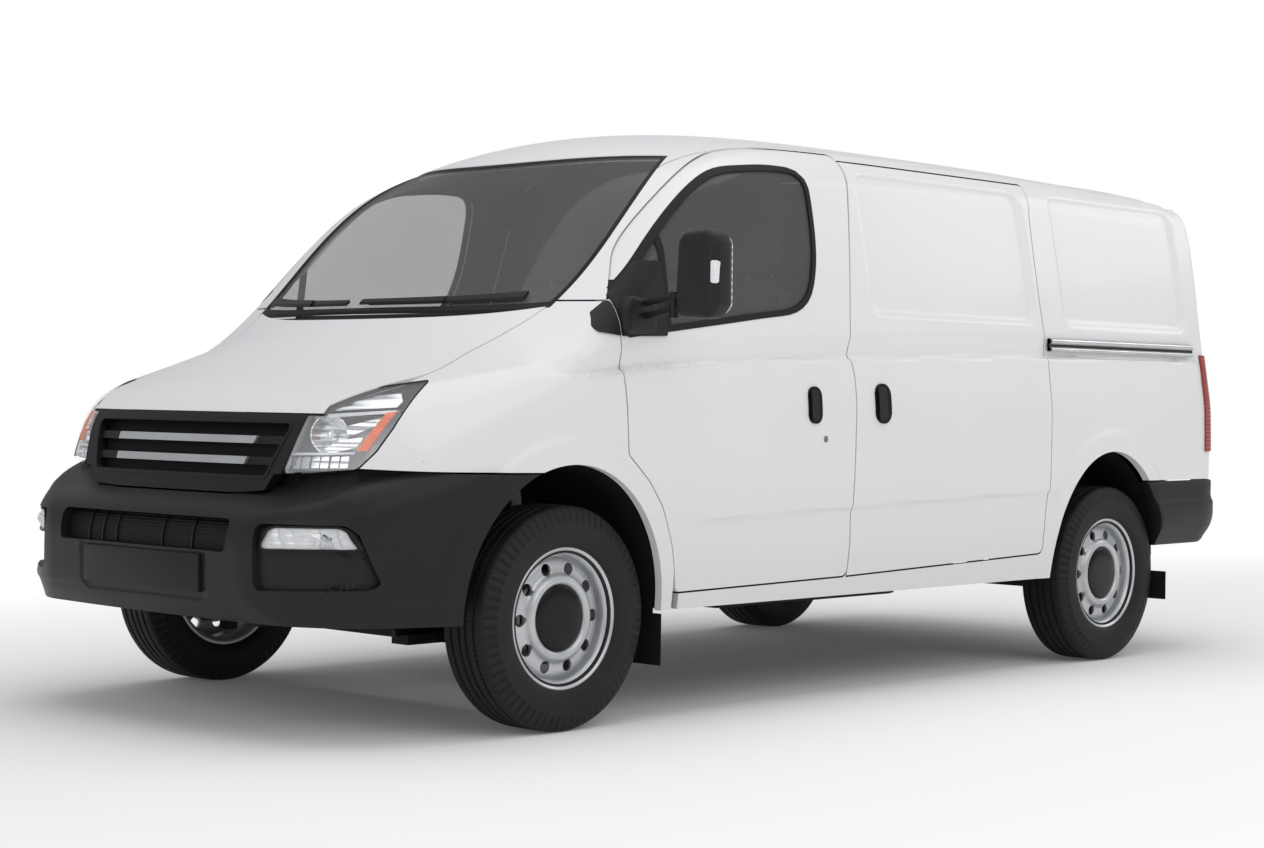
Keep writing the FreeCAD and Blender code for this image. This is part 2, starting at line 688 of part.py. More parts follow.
def make_rim():
    """A steel wheel: a barrel with flanges, a disc with a raised crest and round holes, and a cap."""
    step = disc_face + disc_thickness
    well = bead_radius - 8
    face = [(0, step + 18), (cap_radius, step + 16), (cap_radius + 14, step + 23), (141, step),
            (176, step - 1), (well, disc_face - 2), (well, rim_edge - 7), (rim_radius, rim_edge),
            (rim_radius, bead_seat), (bead_radius, bead_seat), (bead_radius, -bead_seat),
            (rim_radius, -bead_seat), (rim_radius, -rim_edge), (well, -rim_edge + 6),
            (well, disc_face - 14), (174, disc_face), (0, disc_face)]
    wheel = turned(face)
    vents = []
    for i in range(vent_count):
        angle = 2 * math.pi * i / vent_count
        place = V(vent_circle_radius * math.cos(angle), 0, vent_circle_radius * math.sin(angle))
        vents.append(rod(vent_radius, place, Y, 200, 6))
    return wheel.cut(vents[0].multiFuse(vents[1:]))


def placed_wheel(shape, x, side):
    """A wheel part at its place on the van."""
    shape = shape.copy() if side == LEFT else mirrored(shape)
    shape.translate(V(x, side * track / 2, tyre_radius))
    return shape


kingpin_foot = V(front_axle_x, 795, 225)
kingpin_lean = V(0, -0.165, 0.986)
strut_top_z = 945.0


def make_knuckle(side):
    """A front knuckle with its hub, brake disc and strut. The strut stands on the steering axis."""
    wheel_y = track / 2
    hub = rod(hub_radius, V(0, wheel_y + disc_face - 36, 0), Y, 36)
    boss = rod(32, V(0, wheel_y + disc_face - 120, 0), Y, 120)
    disc = rod(142, V(0, wheel_y - 20, 0), Y, 24, 16)
    upright = box(-38, 38, 752, 800, -76, 120)
    arm = box(-180, 0, 756, 782, -50, -20)
    caliper = box(75, 150, wheel_y - 36, wheel_y + 18, -60, 60)
    body_part = fused(hub, boss, disc, upright, arm, caliper)
    body_part.translate(V(front_axle_x, 0, tyre_radius))
    low, high = 190, (strut_top_z - kingpin_foot.z) / kingpin_lean.z
    strut = rod(24, kingpin_foot + kingpin_lean * low, kingpin_lean, high - low - 20, 8)
    spring = rod(62, kingpin_foot + kingpin_lean * (high - 180), kingpin_lean, 150)
    top_pin = Part.makeCylinder(10, 20, kingpin_foot + kingpin_lean * (high - 20), kingpin_lean)
    whole = fused(body_part, strut, spring, top_pin)
    return whole if side == LEFT else mirrored(whole)


front_liner_y = 526.0
rear_liner_y = 694.0


def arch_liner(x, height, y_inner):
    """A shell inside a wheel arch, from its inner wall out to the skin."""
    shell = arch(x, height, 4 + liner_wall, y_inner, 1100)
    hollow = arch(x, height, 4, y_inner + liner_wall, 1200)
    return shell.cut(hollow).common(box(-2600, 2600, 0, 1200, 380, 1000))


def make_arch_liners():
    """The liners of all four wheel arches, with the mud flaps at their rear ends."""
    front = arch_liner(arch_front_x, arch_front_height, front_liner_y)
    front = front.cut(box(front_axle_x - 100, front_axle_x + 100, 600, 800, 700, 1000))
    front = front.cut(rod(150, V(front_axle_x, 500, tyre_radius - 40), Y, 60))
    front = largest(front.common(thin_inner.common(inner.fuse(box(1098, 2600, 0, 1200, 0, 1000)))))
    rear = largest(arch_liner(arch_rear_x, arch_rear_height, rear_liner_y).common(inner))
    front = fused(front, box(1137, 1143, 690, 935, 340, 480), box(1137, 1143, 690, 972, 178, 345))
    rear = fused(rear, box(-1927, -1921, 720, 905, 340, 470), box(-1927, -1921, 720, 998, 229, 345))
    return Part.makeCompound([front, rear, mirrored(front), mirrored(rear)])


load_floor = (545.0, 585.0)
cab_floor = (460.0, 500.0)
firewall_x = 1105.0


def make_floor():
    """The load floor, the lower cab floor with its toe board, and the sills under the doors."""
    load = box(-2330, 90, -1000, 1000, *load_floor)
    riser = box(70, 90, -1000, 1000, cab_floor[0], load_floor[1])
    cab = box(70, 1010, -1000, 1000, *cab_floor)
    toe = sharp([(1000, cab_floor[0]), (firewall_x, 640), (firewall_x, 1150), (firewall_x + 20, 1150),
                 (firewall_x + 20, 636), (1022, cab_floor[0])])
    toe = side_prism(toe, -900, 900)
    plate = load.multiFuse([riser, cab, toe]).removeSplitter().common(inner)
    for side in (LEFT, RIGHT):
        plate = plate.fuse(side_box(side, 200, 1100, 860, 1000, sill_bottom, cab_floor[1]).common(inner))
    door_space = side_prism(offset_outline(door_outline, 2 * gap), 915, 1200)
    front = arch(arch_front_x, arch_front_height, 4 + liner_wall + 1, front_liner_y - 1, 1200)
    rear = arch(arch_rear_x, arch_rear_height, 4 + liner_wall + 1, rear_liner_y - 1, 1200)
    for cut in (door_space, front, rear):
        plate = plate.cut(cut).cut(mirrored(cut))
    return largest(plate.cut(tail_door_gap()).removeSplitter())


rail_y = 480.0
rail_half = 35.0
rail_bottom = 440.0
tow_holes = (-2180.0, 380.0)
bolt_radius = 6.5


def make_underframe():
    """Two long rails with crossmembers, the inner wings and the front crossbeam."""
    parts = []
    for side in (LEFT, RIGHT):
        low, high = rail_y - rail_half, rail_y + rail_half
        parts.append(side_box(side, -2330, 70, low, high, rail_bottom, load_floor[0]))
        parts.append(side_box(side, 40, 1180, low, high, rail_bottom, cab_floor[0]))
        parts.append(side_box(side, firewall_x + 25, 2290, low, high, rail_bottom, 560))
        web = sharp([(1130, 540), (1130, 950), (1850, 950), (2060, 700), (2285, 560), (2285, 540)])
        parts.append(side_prism(web, side * 515 - 6, side * 515 + 6))
        parts.append(side_box(side, 1380, 1720, 515, 770, strut_top_z + 5, strut_top_z + 15))
    for x in (-2300, -2050, -1150, -400):
        parts.append(box(x - 25, x + 25, -rail_y, rail_y, rail_bottom + 2, load_floor[0]))
    for x in (300, 900):
        parts.append(box(x - 30, x + 30, -rail_y, rail_y, rail_bottom + 2, cab_floor[0]))
    parts.append(box(-2240, -2120, -rail_y, rail_y, rail_bottom, rail_bottom + 8))
    parts.append(box(2262, 2290, -rail_y, rail_y, rail_bottom, 600))
    frame = parts[0].multiFuse(parts[1:]).removeSplitter()
    x, y = tow_holes
    for side in (LEFT, RIGHT):
        frame = frame.cut(Part.makeCylinder(bolt_radius, 60, V(x, side * y, rail_bottom - 20), Z))
    return largest(frame)


def make_front_suspension():
    """The front subframe, its lower arms and the drive shafts."""
    parts = [box(1400, 1750, -380, 380, 262, 300), box(1480, 1620, -345, 345, 300, 378)]
    for side in (LEFT, RIGHT):
        parts.append(side_box(side, 1410, 1450, 380, 500, 262, 300))
        parts.append(side_box(side, 1410, 1450, 450, 500, 262, rail_bottom))
        parts.append(side_box(side, 1515, 1585, 360, 775, 238, 262))
        parts.append(side_box(side, 1420, 1730, 340, 420, 238, 270))
        parts.append(side_box(side, 1530, 1570, 740, 790, 190, 245))
        parts.append(side_box(side, front_axle_x - 16, front_axle_x + 16, 330, 735, 336, 368))
    return parts[0].multiFuse(parts[1:]).removeSplitter()


def make_rear_axle():
    """The rear beam axle with its stubs, leaf springs and shackles."""
    parts = [rod(38, V(rear_axle_x, -750, tyre_radius - 42), Y, 1500)]
    wheel_y = track / 2
    for side in (LEFT, RIGHT):
        parts.append(side_box(side, rear_axle_x - 55, rear_axle_x + 55, 740, 800, 262, 412))
        stub = rod(30, V(rear_axle_x, 780, tyre_radius), Y, wheel_y + disc_face - 780, 8)
        drum = rod(135, V(rear_axle_x, wheel_y - 52, tyre_radius), Y, 60, 16)
        parts += [p if side == LEFT else mirrored(p) for p in (stub, drum)]
        leaf = sharp([(-2150, 425), (-1850, 382), (rear_axle_x, 358), (-1230, 382), (-930, 425),
                      (-930, 439), (-1230, 396), (rear_axle_x, 372), (-1850, 396), (-2150, 439)])
        parts.append(side_prism(leaf, side * 553 - 32, side * 553 + 32))
        for x in (-2140, -940):
            parts.append(side_box(side, x - 20, x + 20, rail_y + rail_half, 585, 424, 470))
        parts.append(side_box(side, rear_axle_x - 60, rear_axle_x + 60, 521, 585, 330, 390))
    return parts[0].multiFuse(parts[1:]).removeSplitter()


def make_exhaust():
    """The exhaust pipe with its silencer."""
    pipe = rod(28, V(-850, -250, 330), X, 2200)
    silencer = rod(95, V(-720, -250, 345), X, 620, 16)
    return fused(pipe, silencer, box(-420, -380, -262, -238, 400, rail_bottom + 2))


def make_fuel_tank():
    """The fuel tank between the rails."""
    top = rail_bottom + 2
    return end_prism([(60, 270, 40), (440, 270, 40), (440, top, 0), (60, top, 0)], -820, 220)


def make_engine():
    """Engine and gearbox as one plain block."""
    return box(1430, 1960, -430, 330, 380, 900)


def make_bulkhead():
    """The partition between cab and load space."""
    plate = box(92, 112, -1000, 1000, cab_floor[1], 2200).common(inner)
    door_space = side_prism(offset_outline(door_outline, 8), 880, 1200)
    slide_space = side_prism(offset_outline(sliding_outline, 8), 880, 1200)
    for cut in (door_space, mirrored(door_space), slide_space):
        plate = plate.cut(cut)
    return largest(plate)


def make_seat(y0, y1, heads):
    """A seat with its base, cushion, back and headrests."""
    parts = [box(240, 600, y0 + 50, y1 - 50, cab_floor[1], 800)]
    parts.append(side_prism([(180, 760, 0), (690, 775, 40), (700, 890, 60), (180, 860, 0)], y0, y1))
    parts.append(side_prism([(250, 830, 0), (380, 850, 40), (250, 1480, 50), (135, 1480, 30), (170, 830, 0)],
                            y0 + 5, y1 - 5))
    for y in heads:
        head = [(150, 1450, 0), (235, 1450, 20), (215, 1690, 40), (135, 1690, 30)]
        parts.append(side_prism(head, y - 130, y + 130))
    return parts[0].multiFuse(parts[1:]).removeSplitter()


def make_seats():
    """The driver's seat on the right and the double seat on the left."""
    return Part.makeCompound([make_seat(-700, -210, (-455,)), make_seat(-120, 780, (110, 560))])


steering_centre = V(690, -455, 1150)
steering_axis = V(-0.42, 0, 0.9075)
ring_radius = 188.0
ring_thickness = 15.0


def make_dashboard():
    """The dashboard with its binnacle and the steering column."""
    block = side_prism([(1100, 900, 0), (1100, 1155, 0), (1140, 1190, 0), (1230, 1310, 40), (1130, 1330, 60),
                        (905, 1280, 60), (900, 1120, 60), (940, 900, 40)], -880, 880)
    column = rod(26, steering_centre - steering_axis * 690, steering_axis, 645)
    bracket = box(748, 960, -490, -420, 985, 1045)
    piece = block.common(lamp_inner).fuse(bracket).fuse(column).removeSplitter()
    door_space = side_prism(offset_outline(door_outline, 8), 860, 1200)
    return largest(piece.cut(door_space).cut(mirrored(door_space)))


def make_steering_wheel():
    """The steering wheel."""
    half = ring_thickness
    ring = turned([(ring_radius - half, 0), (ring_radius - half / 2, half), (ring_radius + half / 2, half),
                   (ring_radius + half, 0), (ring_radius, -half)])
    parts = [ring, rod(60, V(0, -40, 0), Y, 46)]
    for i in range(3):
        spoke = box(20, ring_radius, -13, 3, -17, 17)
        spoke.rotate(V(0, 0, 0), Y, 90 + 120 * i)
        parts.append(spoke)
    wheel = parts[0].multiFuse(parts[1:]).removeSplitter()
    wheel.rotate(V(0, 0, 0), X, 90)
    wheel.rotate(V(0, 0, 0), Y, math.degrees(math.atan2(steering_axis.x, steering_axis.z)))
    wheel.translate(steering_centre)
    return wheel


def make_wipers():
    """The two wipers' blades on the foot of the glass."""
    parts = []
    for y0, y1 in ((40, 640), (-640, -80)):
        blade = box(1400, 1560, y0, y1, 1290, 1500).common(windscreen_area(-14)).cut(windscreen_area(-52))
        parts.append(largest(proud.common(blade).cut(outer)))
    return Part.makeCompound(parts)


def make_mirror():
    """The left door's mirror: a foot on the door, two arms and the housing."""
    sail = [(1180, 1236, 0), (1326, 1236, 0), (1326, 1336, 0), (1300, 1368, 0), (1180, 1345, 20)]
    foot = largest(side_prism(sail, 860, 985).cut(outer.fuse(inner)))
    arms = [rod(12, V(1235, 930, z), V(0, 0.97, 0.14), 250, 8) for z in (1292, 1330)]
    shell = [(1138, 1290, 40), (1280, 1283, 50), (1318, 1325, 30), (1316, 1535, 50), (1280, 1563, 30),
             (1150, 1556, 60)]
    back = end_prism(shell, 1194, 1270)
    front = end_prism(offset_outline(shell, -22), 1270, 1292)
    whole = foot.multiFuse([back, front] + [a.cut(outer) for a in arms]).removeSplitter()
    return largest(whole)


wheels = (("front_left", front_axle_x, LEFT), ("front_right", front_axle_x, RIGHT),
          ("rear_left", rear_axle_x, LEFT), ("rear_right", rear_axle_x, RIGHT))


def build():
    """Every node by name."""
    nodes = {"roof_panel": make_roof(), "sliding_door": make_sliding_door(), "wings": make_wings(),
             "bonnet": make_bonnet(), "headlamps": make_headlamps(), "grille": make_grille(),
             "windscreen": make_windscreen(), "scuttle": make_cowl(), "front_bumper": make_front_bumper(),
             "fog_lamps": make_fog_lamps(), "rear_bumper": make_rear_bumper(),
             "tail_lamps": make_tail_lamps(), "slide_rail": make_slide_rail(),
             "arch_liners": make_arch_liners(), "floor": make_floor(),
             "underframe": make_underframe(), "front_suspension": make_front_suspension(),
             "rear_axle": make_rear_axle(), "exhaust": make_exhaust(), "fuel_tank": make_fuel_tank(),
             "engine": make_engine(), "bulkhead": make_bulkhead(), "seats": make_seats(),
             "dashboard": make_dashboard(), "steering_wheel": make_steering_wheel(), "wipers": make_wipers(),
             "mirror_left": make_mirror()}
    for name, side in sides:
        nodes["body_side_" + name] = make_side(side)
        nodes["front_door_" + name] = make_front_door(side)
        nodes["door_glass_" + name] = make_door_glass(side)
        nodes["rear_door_" + name] = make_rear_door(side)
        nodes["knuckle_" + name] = make_knuckle(side)
    tyre, rim = make_tyre(), make_rim()
    for name, x, side in wheels:
        nodes["tyre_" + name] = placed_wheel(tyre, x, side)
        nodes["rim_" + name] = placed_wheel(rim, x, side)
    return nodes


os.makedirs("parts", exist_ok=True)
for node, shape in build().items():
    shape.exportStep("parts/" + node + ".step")
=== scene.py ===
"""Panel van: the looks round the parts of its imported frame, laid out as an add-on.

Lengths in the tables are in millimetres, in the frame's axes: +X forwards, +Y left, +Z up, with the
origin on the ground. The body's panels are cut from one smooth skin. The skin is found along rays in
section planes, its pressings and flares are added to it as a depth, and each panel gets its shading
from the skin's own slope, so that a seam leaves no mark on the form.
"""

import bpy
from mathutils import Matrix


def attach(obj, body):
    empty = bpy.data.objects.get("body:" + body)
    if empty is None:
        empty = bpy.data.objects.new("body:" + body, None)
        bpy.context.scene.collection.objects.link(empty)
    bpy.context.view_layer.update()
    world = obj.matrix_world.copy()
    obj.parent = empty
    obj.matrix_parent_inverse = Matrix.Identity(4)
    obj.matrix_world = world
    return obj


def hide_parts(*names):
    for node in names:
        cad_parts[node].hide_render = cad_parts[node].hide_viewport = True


bl_info = {
    "name": "Panel Van",
    "version": (1, 0, 0),
    "blender": (4, 5, 0),
    "location": "3D View > Sidebar > Panel Van",
    "description": "Builds a panel van's visible pieces round its packed frame",
    "category": "Add Mesh",
}

import math

import bmesh
import bpy
import numpy as np
from bpy.props import FloatProperty, FloatVectorProperty, IntProperty, PointerProperty
from mathutils import Matrix, Vector

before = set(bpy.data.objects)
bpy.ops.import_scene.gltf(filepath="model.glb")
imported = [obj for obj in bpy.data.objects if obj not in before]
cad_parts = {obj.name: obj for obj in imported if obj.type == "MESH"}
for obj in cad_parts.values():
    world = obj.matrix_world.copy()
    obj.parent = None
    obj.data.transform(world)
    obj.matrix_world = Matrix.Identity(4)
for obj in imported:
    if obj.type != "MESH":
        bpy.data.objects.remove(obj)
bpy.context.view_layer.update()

MM = 0.001
LEFT, RIGHT = 1, -1
SIDES = (("left", LEFT), ("right", RIGHT))


# Small tools for meshes
def deselect():
    """Leaves edit mode and selects nothing."""
    if bpy.context.object and bpy.context.object.mode != "OBJECT":
        bpy.ops.object.mode_set(mode="OBJECT")
    bpy.ops.object.select_all(action="DESELECT")


def activate(piece):
    """Makes a piece the only one selected, and the active one."""
    deselect()
    piece.select_set(True)
    bpy.context.view_layer.objects.active = piece


def mesh_piece(name, points, faces):
    """A piece from points in millimetres and faces."""
    mesh = bpy.data.meshes.new(name)
    mesh.from_pydata((np.asarray(points, float) * MM).tolist(), [], [list(f) for f in faces])
    piece = bpy.data.objects.new(name, mesh)
    bpy.context.scene.collection.objects.link(piece)
    return piece


def tidy(piece, merge=0.00002):
    """Merges doubles and turns the faces outwards."""
    activate(piece)
    bpy.ops.object.mode_set(mode="EDIT")
    bpy.ops.mesh.select_all(action="SELECT")
    bpy.ops.mesh.remove_doubles(threshold=merge)
    bpy.ops.mesh.normals_make_consistent(inside=False)
    bpy.ops.object.mode_set(mode="OBJECT")
    return piece


def modify(piece, kind, **settings):
    """Adds a modifier and applies it."""
    activate(piece)
    modifier = piece.modifiers.new(kind.title(), kind)
    for name, value in settings.items():
        setattr(modifier, name, value)
    bpy.ops.object.modifier_apply(modifier=modifier.name)
    return piece


def carve(piece, cutter, operation="DIFFERENCE", solver="MANIFOLD", keep=False):
    """Cuts a piece with another one, which is then removed."""
    modify(piece, "BOOLEAN", operation=operation, object=cutter, solver=solver)
    if not keep:
        bpy.data.meshes.remove(cutter.data)
    if not piece.data.polygons:
        raise RuntimeError("nothing is left of " + piece.name)
    return piece


def joined(name, pieces):
    """One piece from several."""
    deselect()
    for piece in pieces:
        piece.select_set(True)
    bpy.context.view_layer.objects.active = pieces[0]
    if len(pieces) > 1:
        bpy.ops.object.join()
    pieces[0].name = pieces[0].data.name = name
    return pieces[0]


def copied(piece, name):
    """A copy with its own mesh."""
    twin = piece.copy()
    twin.data = piece.data.copy()
    twin.name = twin.data.name = name
    bpy.context.scene.collection.objects.link(twin)
    return twin


def moved(piece, matrix):
    """Moves a piece's mesh, with the faces kept outwards."""
    piece.data.transform(matrix)
    if matrix.determinant() < 0:
        piece.data.flip_normals()
    return piece


def mirrored(piece, name):
    """The copy on the other side of the van."""
    return moved(copied(piece, name), Matrix.Diagonal((1, -1, 1, 1)))


def smooth(piece, degrees=35):
    """Smooth shading, with the edges sharper than an angle kept crisp."""
    activate(piece)
    bpy.ops.object.shade_smooth_by_angle(angle=math.radians(degrees))
    return piece


def rounded(outline, flat=9.0):
    """Corners (a, b, radius) as plain points, with arcs for the radii."""
    points = []
    count = len(outline)
    for i, (a, b, radius) in enumerate(outline):
        corner = np.array((a, b), float)
        if radius <= 0:
            points.append(corner)
            continue
        back = np.array(outline[i - 1][:2], float) - corner
        ahead = np.array(outline[(i + 1) % count][:2], float) - corner
        back, ahead = back / np.linalg.norm(back), ahead / np.linalg.norm(ahead)
        half = math.acos(max(-1.0, min(1.0, back @ ahead))) / 2
        turn = math.pi - 2 * half
        if turn < 0.02:
            points.append(corner)
            continue
        centre = corner + (back + ahead) / np.linalg.norm(back + ahead) * (radius / math.sin(half))
        start = corner + back * (radius / math.tan(half)) - centre
        end = corner + ahead * (radius / math.tan(half)) - centre
        flats = max(2, round(math.degrees(turn) / flat))
        for k in range(flats + 1):
            swept = turn * k / flats
            points.append(centre + (start * math.sin(turn - swept) + end * math.sin(swept)) / math.sin(turn))
    return np.array(points)


def grown(outline, distance):
    """An outline (a, b, radius) moved outwards."""
    count = len(outline)
    area = sum(outline[i - 1][0] * outline[i][1] - outline[i][0] * outline[i - 1][1] for i in range(count))
    turn = 1 if area > 0 else -1
    result = []
    for i, (a, b, radius) in enumerate(outline):
        before, after = outline[i - 1], outline[(i + 1) % count]
        normals = []
        for (a0, b0), (a1, b1) in (((before[0], before[1]), (a, b)), ((a, b), (after[0], after[1]))):
            run = math.hypot(a1 - a0, b1 - b0)
            normals.append((turn * (b1 - b0) / run, -turn * (a1 - a0) / run))
        (na, nb), (ma, mb) = normals
        scale = distance / (1 + na * ma + nb * mb)
        rounding = max(radius + distance, 0) if radius else 0
        result.append((a + (na + ma) * scale, b + (nb + mb) * scale, rounding))
    return result


def sharp(points):
    """Corners without rounding, from pairs."""
    return [(a, b, 0) for a, b in points]


def prism(outline, low, high, direction="Y", name="prism"):
    """A prism from corners (a, b, radius): (x, z) along Y, (y, z) along X, (x, y) along Z."""
    flat = rounded(outline)
    order = {"Y": (0, 2, 1), "X": (1, 2, 0), "Z": (0, 1, 2)}[direction]
    points = np.zeros((2 * len(flat), 3))
    for k, level in enumerate((low, high)):
        part = slice(k * len(flat), (k + 1) * len(flat))
        points[part, order[0]], points[part, order[1]], points[part, order[2]] = flat[:, 0], flat[:, 1], level
    count = len(flat)
    faces = [list(range(count))[::-1], list(range(count, 2 * count))]
    faces += [[i, (i + 1) % count, count + (i + 1) % count, count + i] for i in range(count)]
    return turned_out(mesh_piece(name, points, faces))


def turned_out(piece):
    """Turns a closed piece's faces outwards, without operators, for cutters."""
    mesh = bmesh.new()
    mesh.from_mesh(piece.data)
    bmesh.ops.recalc_face_normals(mesh, faces=mesh.faces)
    mesh.to_mesh(piece.data)
    mesh.free()
    return piece


def block(x0, x1, y0, y1, z0, z1):
    """A box between limits, as a cutter."""
    return prism([(x0, y0, 0), (x1, y0, 0), (x1, y1, 0), (x0, y1, 0)], z0, z1, "Z")


# Curves and fields
def step(start, end, value):
    """0 before start, 1 after end, smooth between. Start may be the larger one."""
    t = np.clip((value - start) / (end - start), 0.0, 1.0)
    return t * t * (3 - 2 * t)


def slopes(places, values):
    """Slopes of a smooth curve through a table that doesn't overshoot."""
    run, rise = np.diff(places), np.diff(values)
    grade = rise / run
    inner = np.zeros(len(places))
    for i in range(1, len(places) - 1):
        if grade[i - 1] * grade[i] > 0:
            inner[i] = 2 * grade[i - 1] * grade[i] / (grade[i - 1] + grade[i])
    inner[0], inner[-1] = grade[0], grade[-1]
    return inner


class Table:
    """A smooth function through (place, value) pairs."""

    def __init__(self, pairs):
        self.at, self.value = np.array(pairs, float).T
        self.slope = slopes(self.at, self.value)

    def __call__(self, x):
        x = np.clip(x, self.at[0], self.at[-1])
        i = np.clip(np.searchsorted(self.at, x) - 1, 0, len(self.at) - 2)
        run = self.at[i + 1] - self.at[i]
        t = (x - self.at[i]) / run
        a, b = self.value[i], self.value[i + 1]
        return (a * (1 + 2 * t) * (1 - t) ** 2 + self.slope[i] * run * t * (1 - t) ** 2
                + b * t * t * (3 - 2 * t) - self.slope[i + 1] * run * t * t * (1 - t))


def spline(points, count):
    """Points and tangents along a natural cubic curve through points."""
    points = np.array(points, float)
    knots = np.concatenate([[0], np.cumsum(np.linalg.norm(np.diff(points, axis=0), axis=1))])
    n, h = len(points), np.diff(knots)
    rows, right = np.zeros((n, n)), np.zeros((n, 2))
    rows[0, 0] = rows[-1, -1] = 1
    for i in range(1, n - 1):
        rows[i, i - 1:i + 2] = h[i - 1], 2 * (h[i - 1] + h[i]), h[i]
        right[i] = 6 * ((points[i + 1] - points[i]) / h[i] - (points[i] - points[i - 1]) / h[i - 1])
    second = np.linalg.solve(rows, right)
    t = np.linspace(0, knots[-1], count)
    i = np.clip(np.searchsorted(knots, t) - 1, 0, n - 2)
    a, b, run = (knots[i + 1] - t)[:, None], (t - knots[i])[:, None], h[i][:, None]
    place = ((second[i] * a ** 3 + second[i + 1] * b ** 3) / (6 * run)
             + (points[i] / run - second[i] * run / 6) * a
             + (points[i + 1] / run - second[i + 1] * run / 6) * b)
    slope = ((-second[i] * a ** 2 + second[i + 1] * b ** 2) / (2 * run)
             - (points[i] / run - second[i] * run / 6) + (points[i + 1] / run - second[i + 1] * run / 6))
    return place, slope / np.linalg.norm(slope, axis=1, keepdims=True)


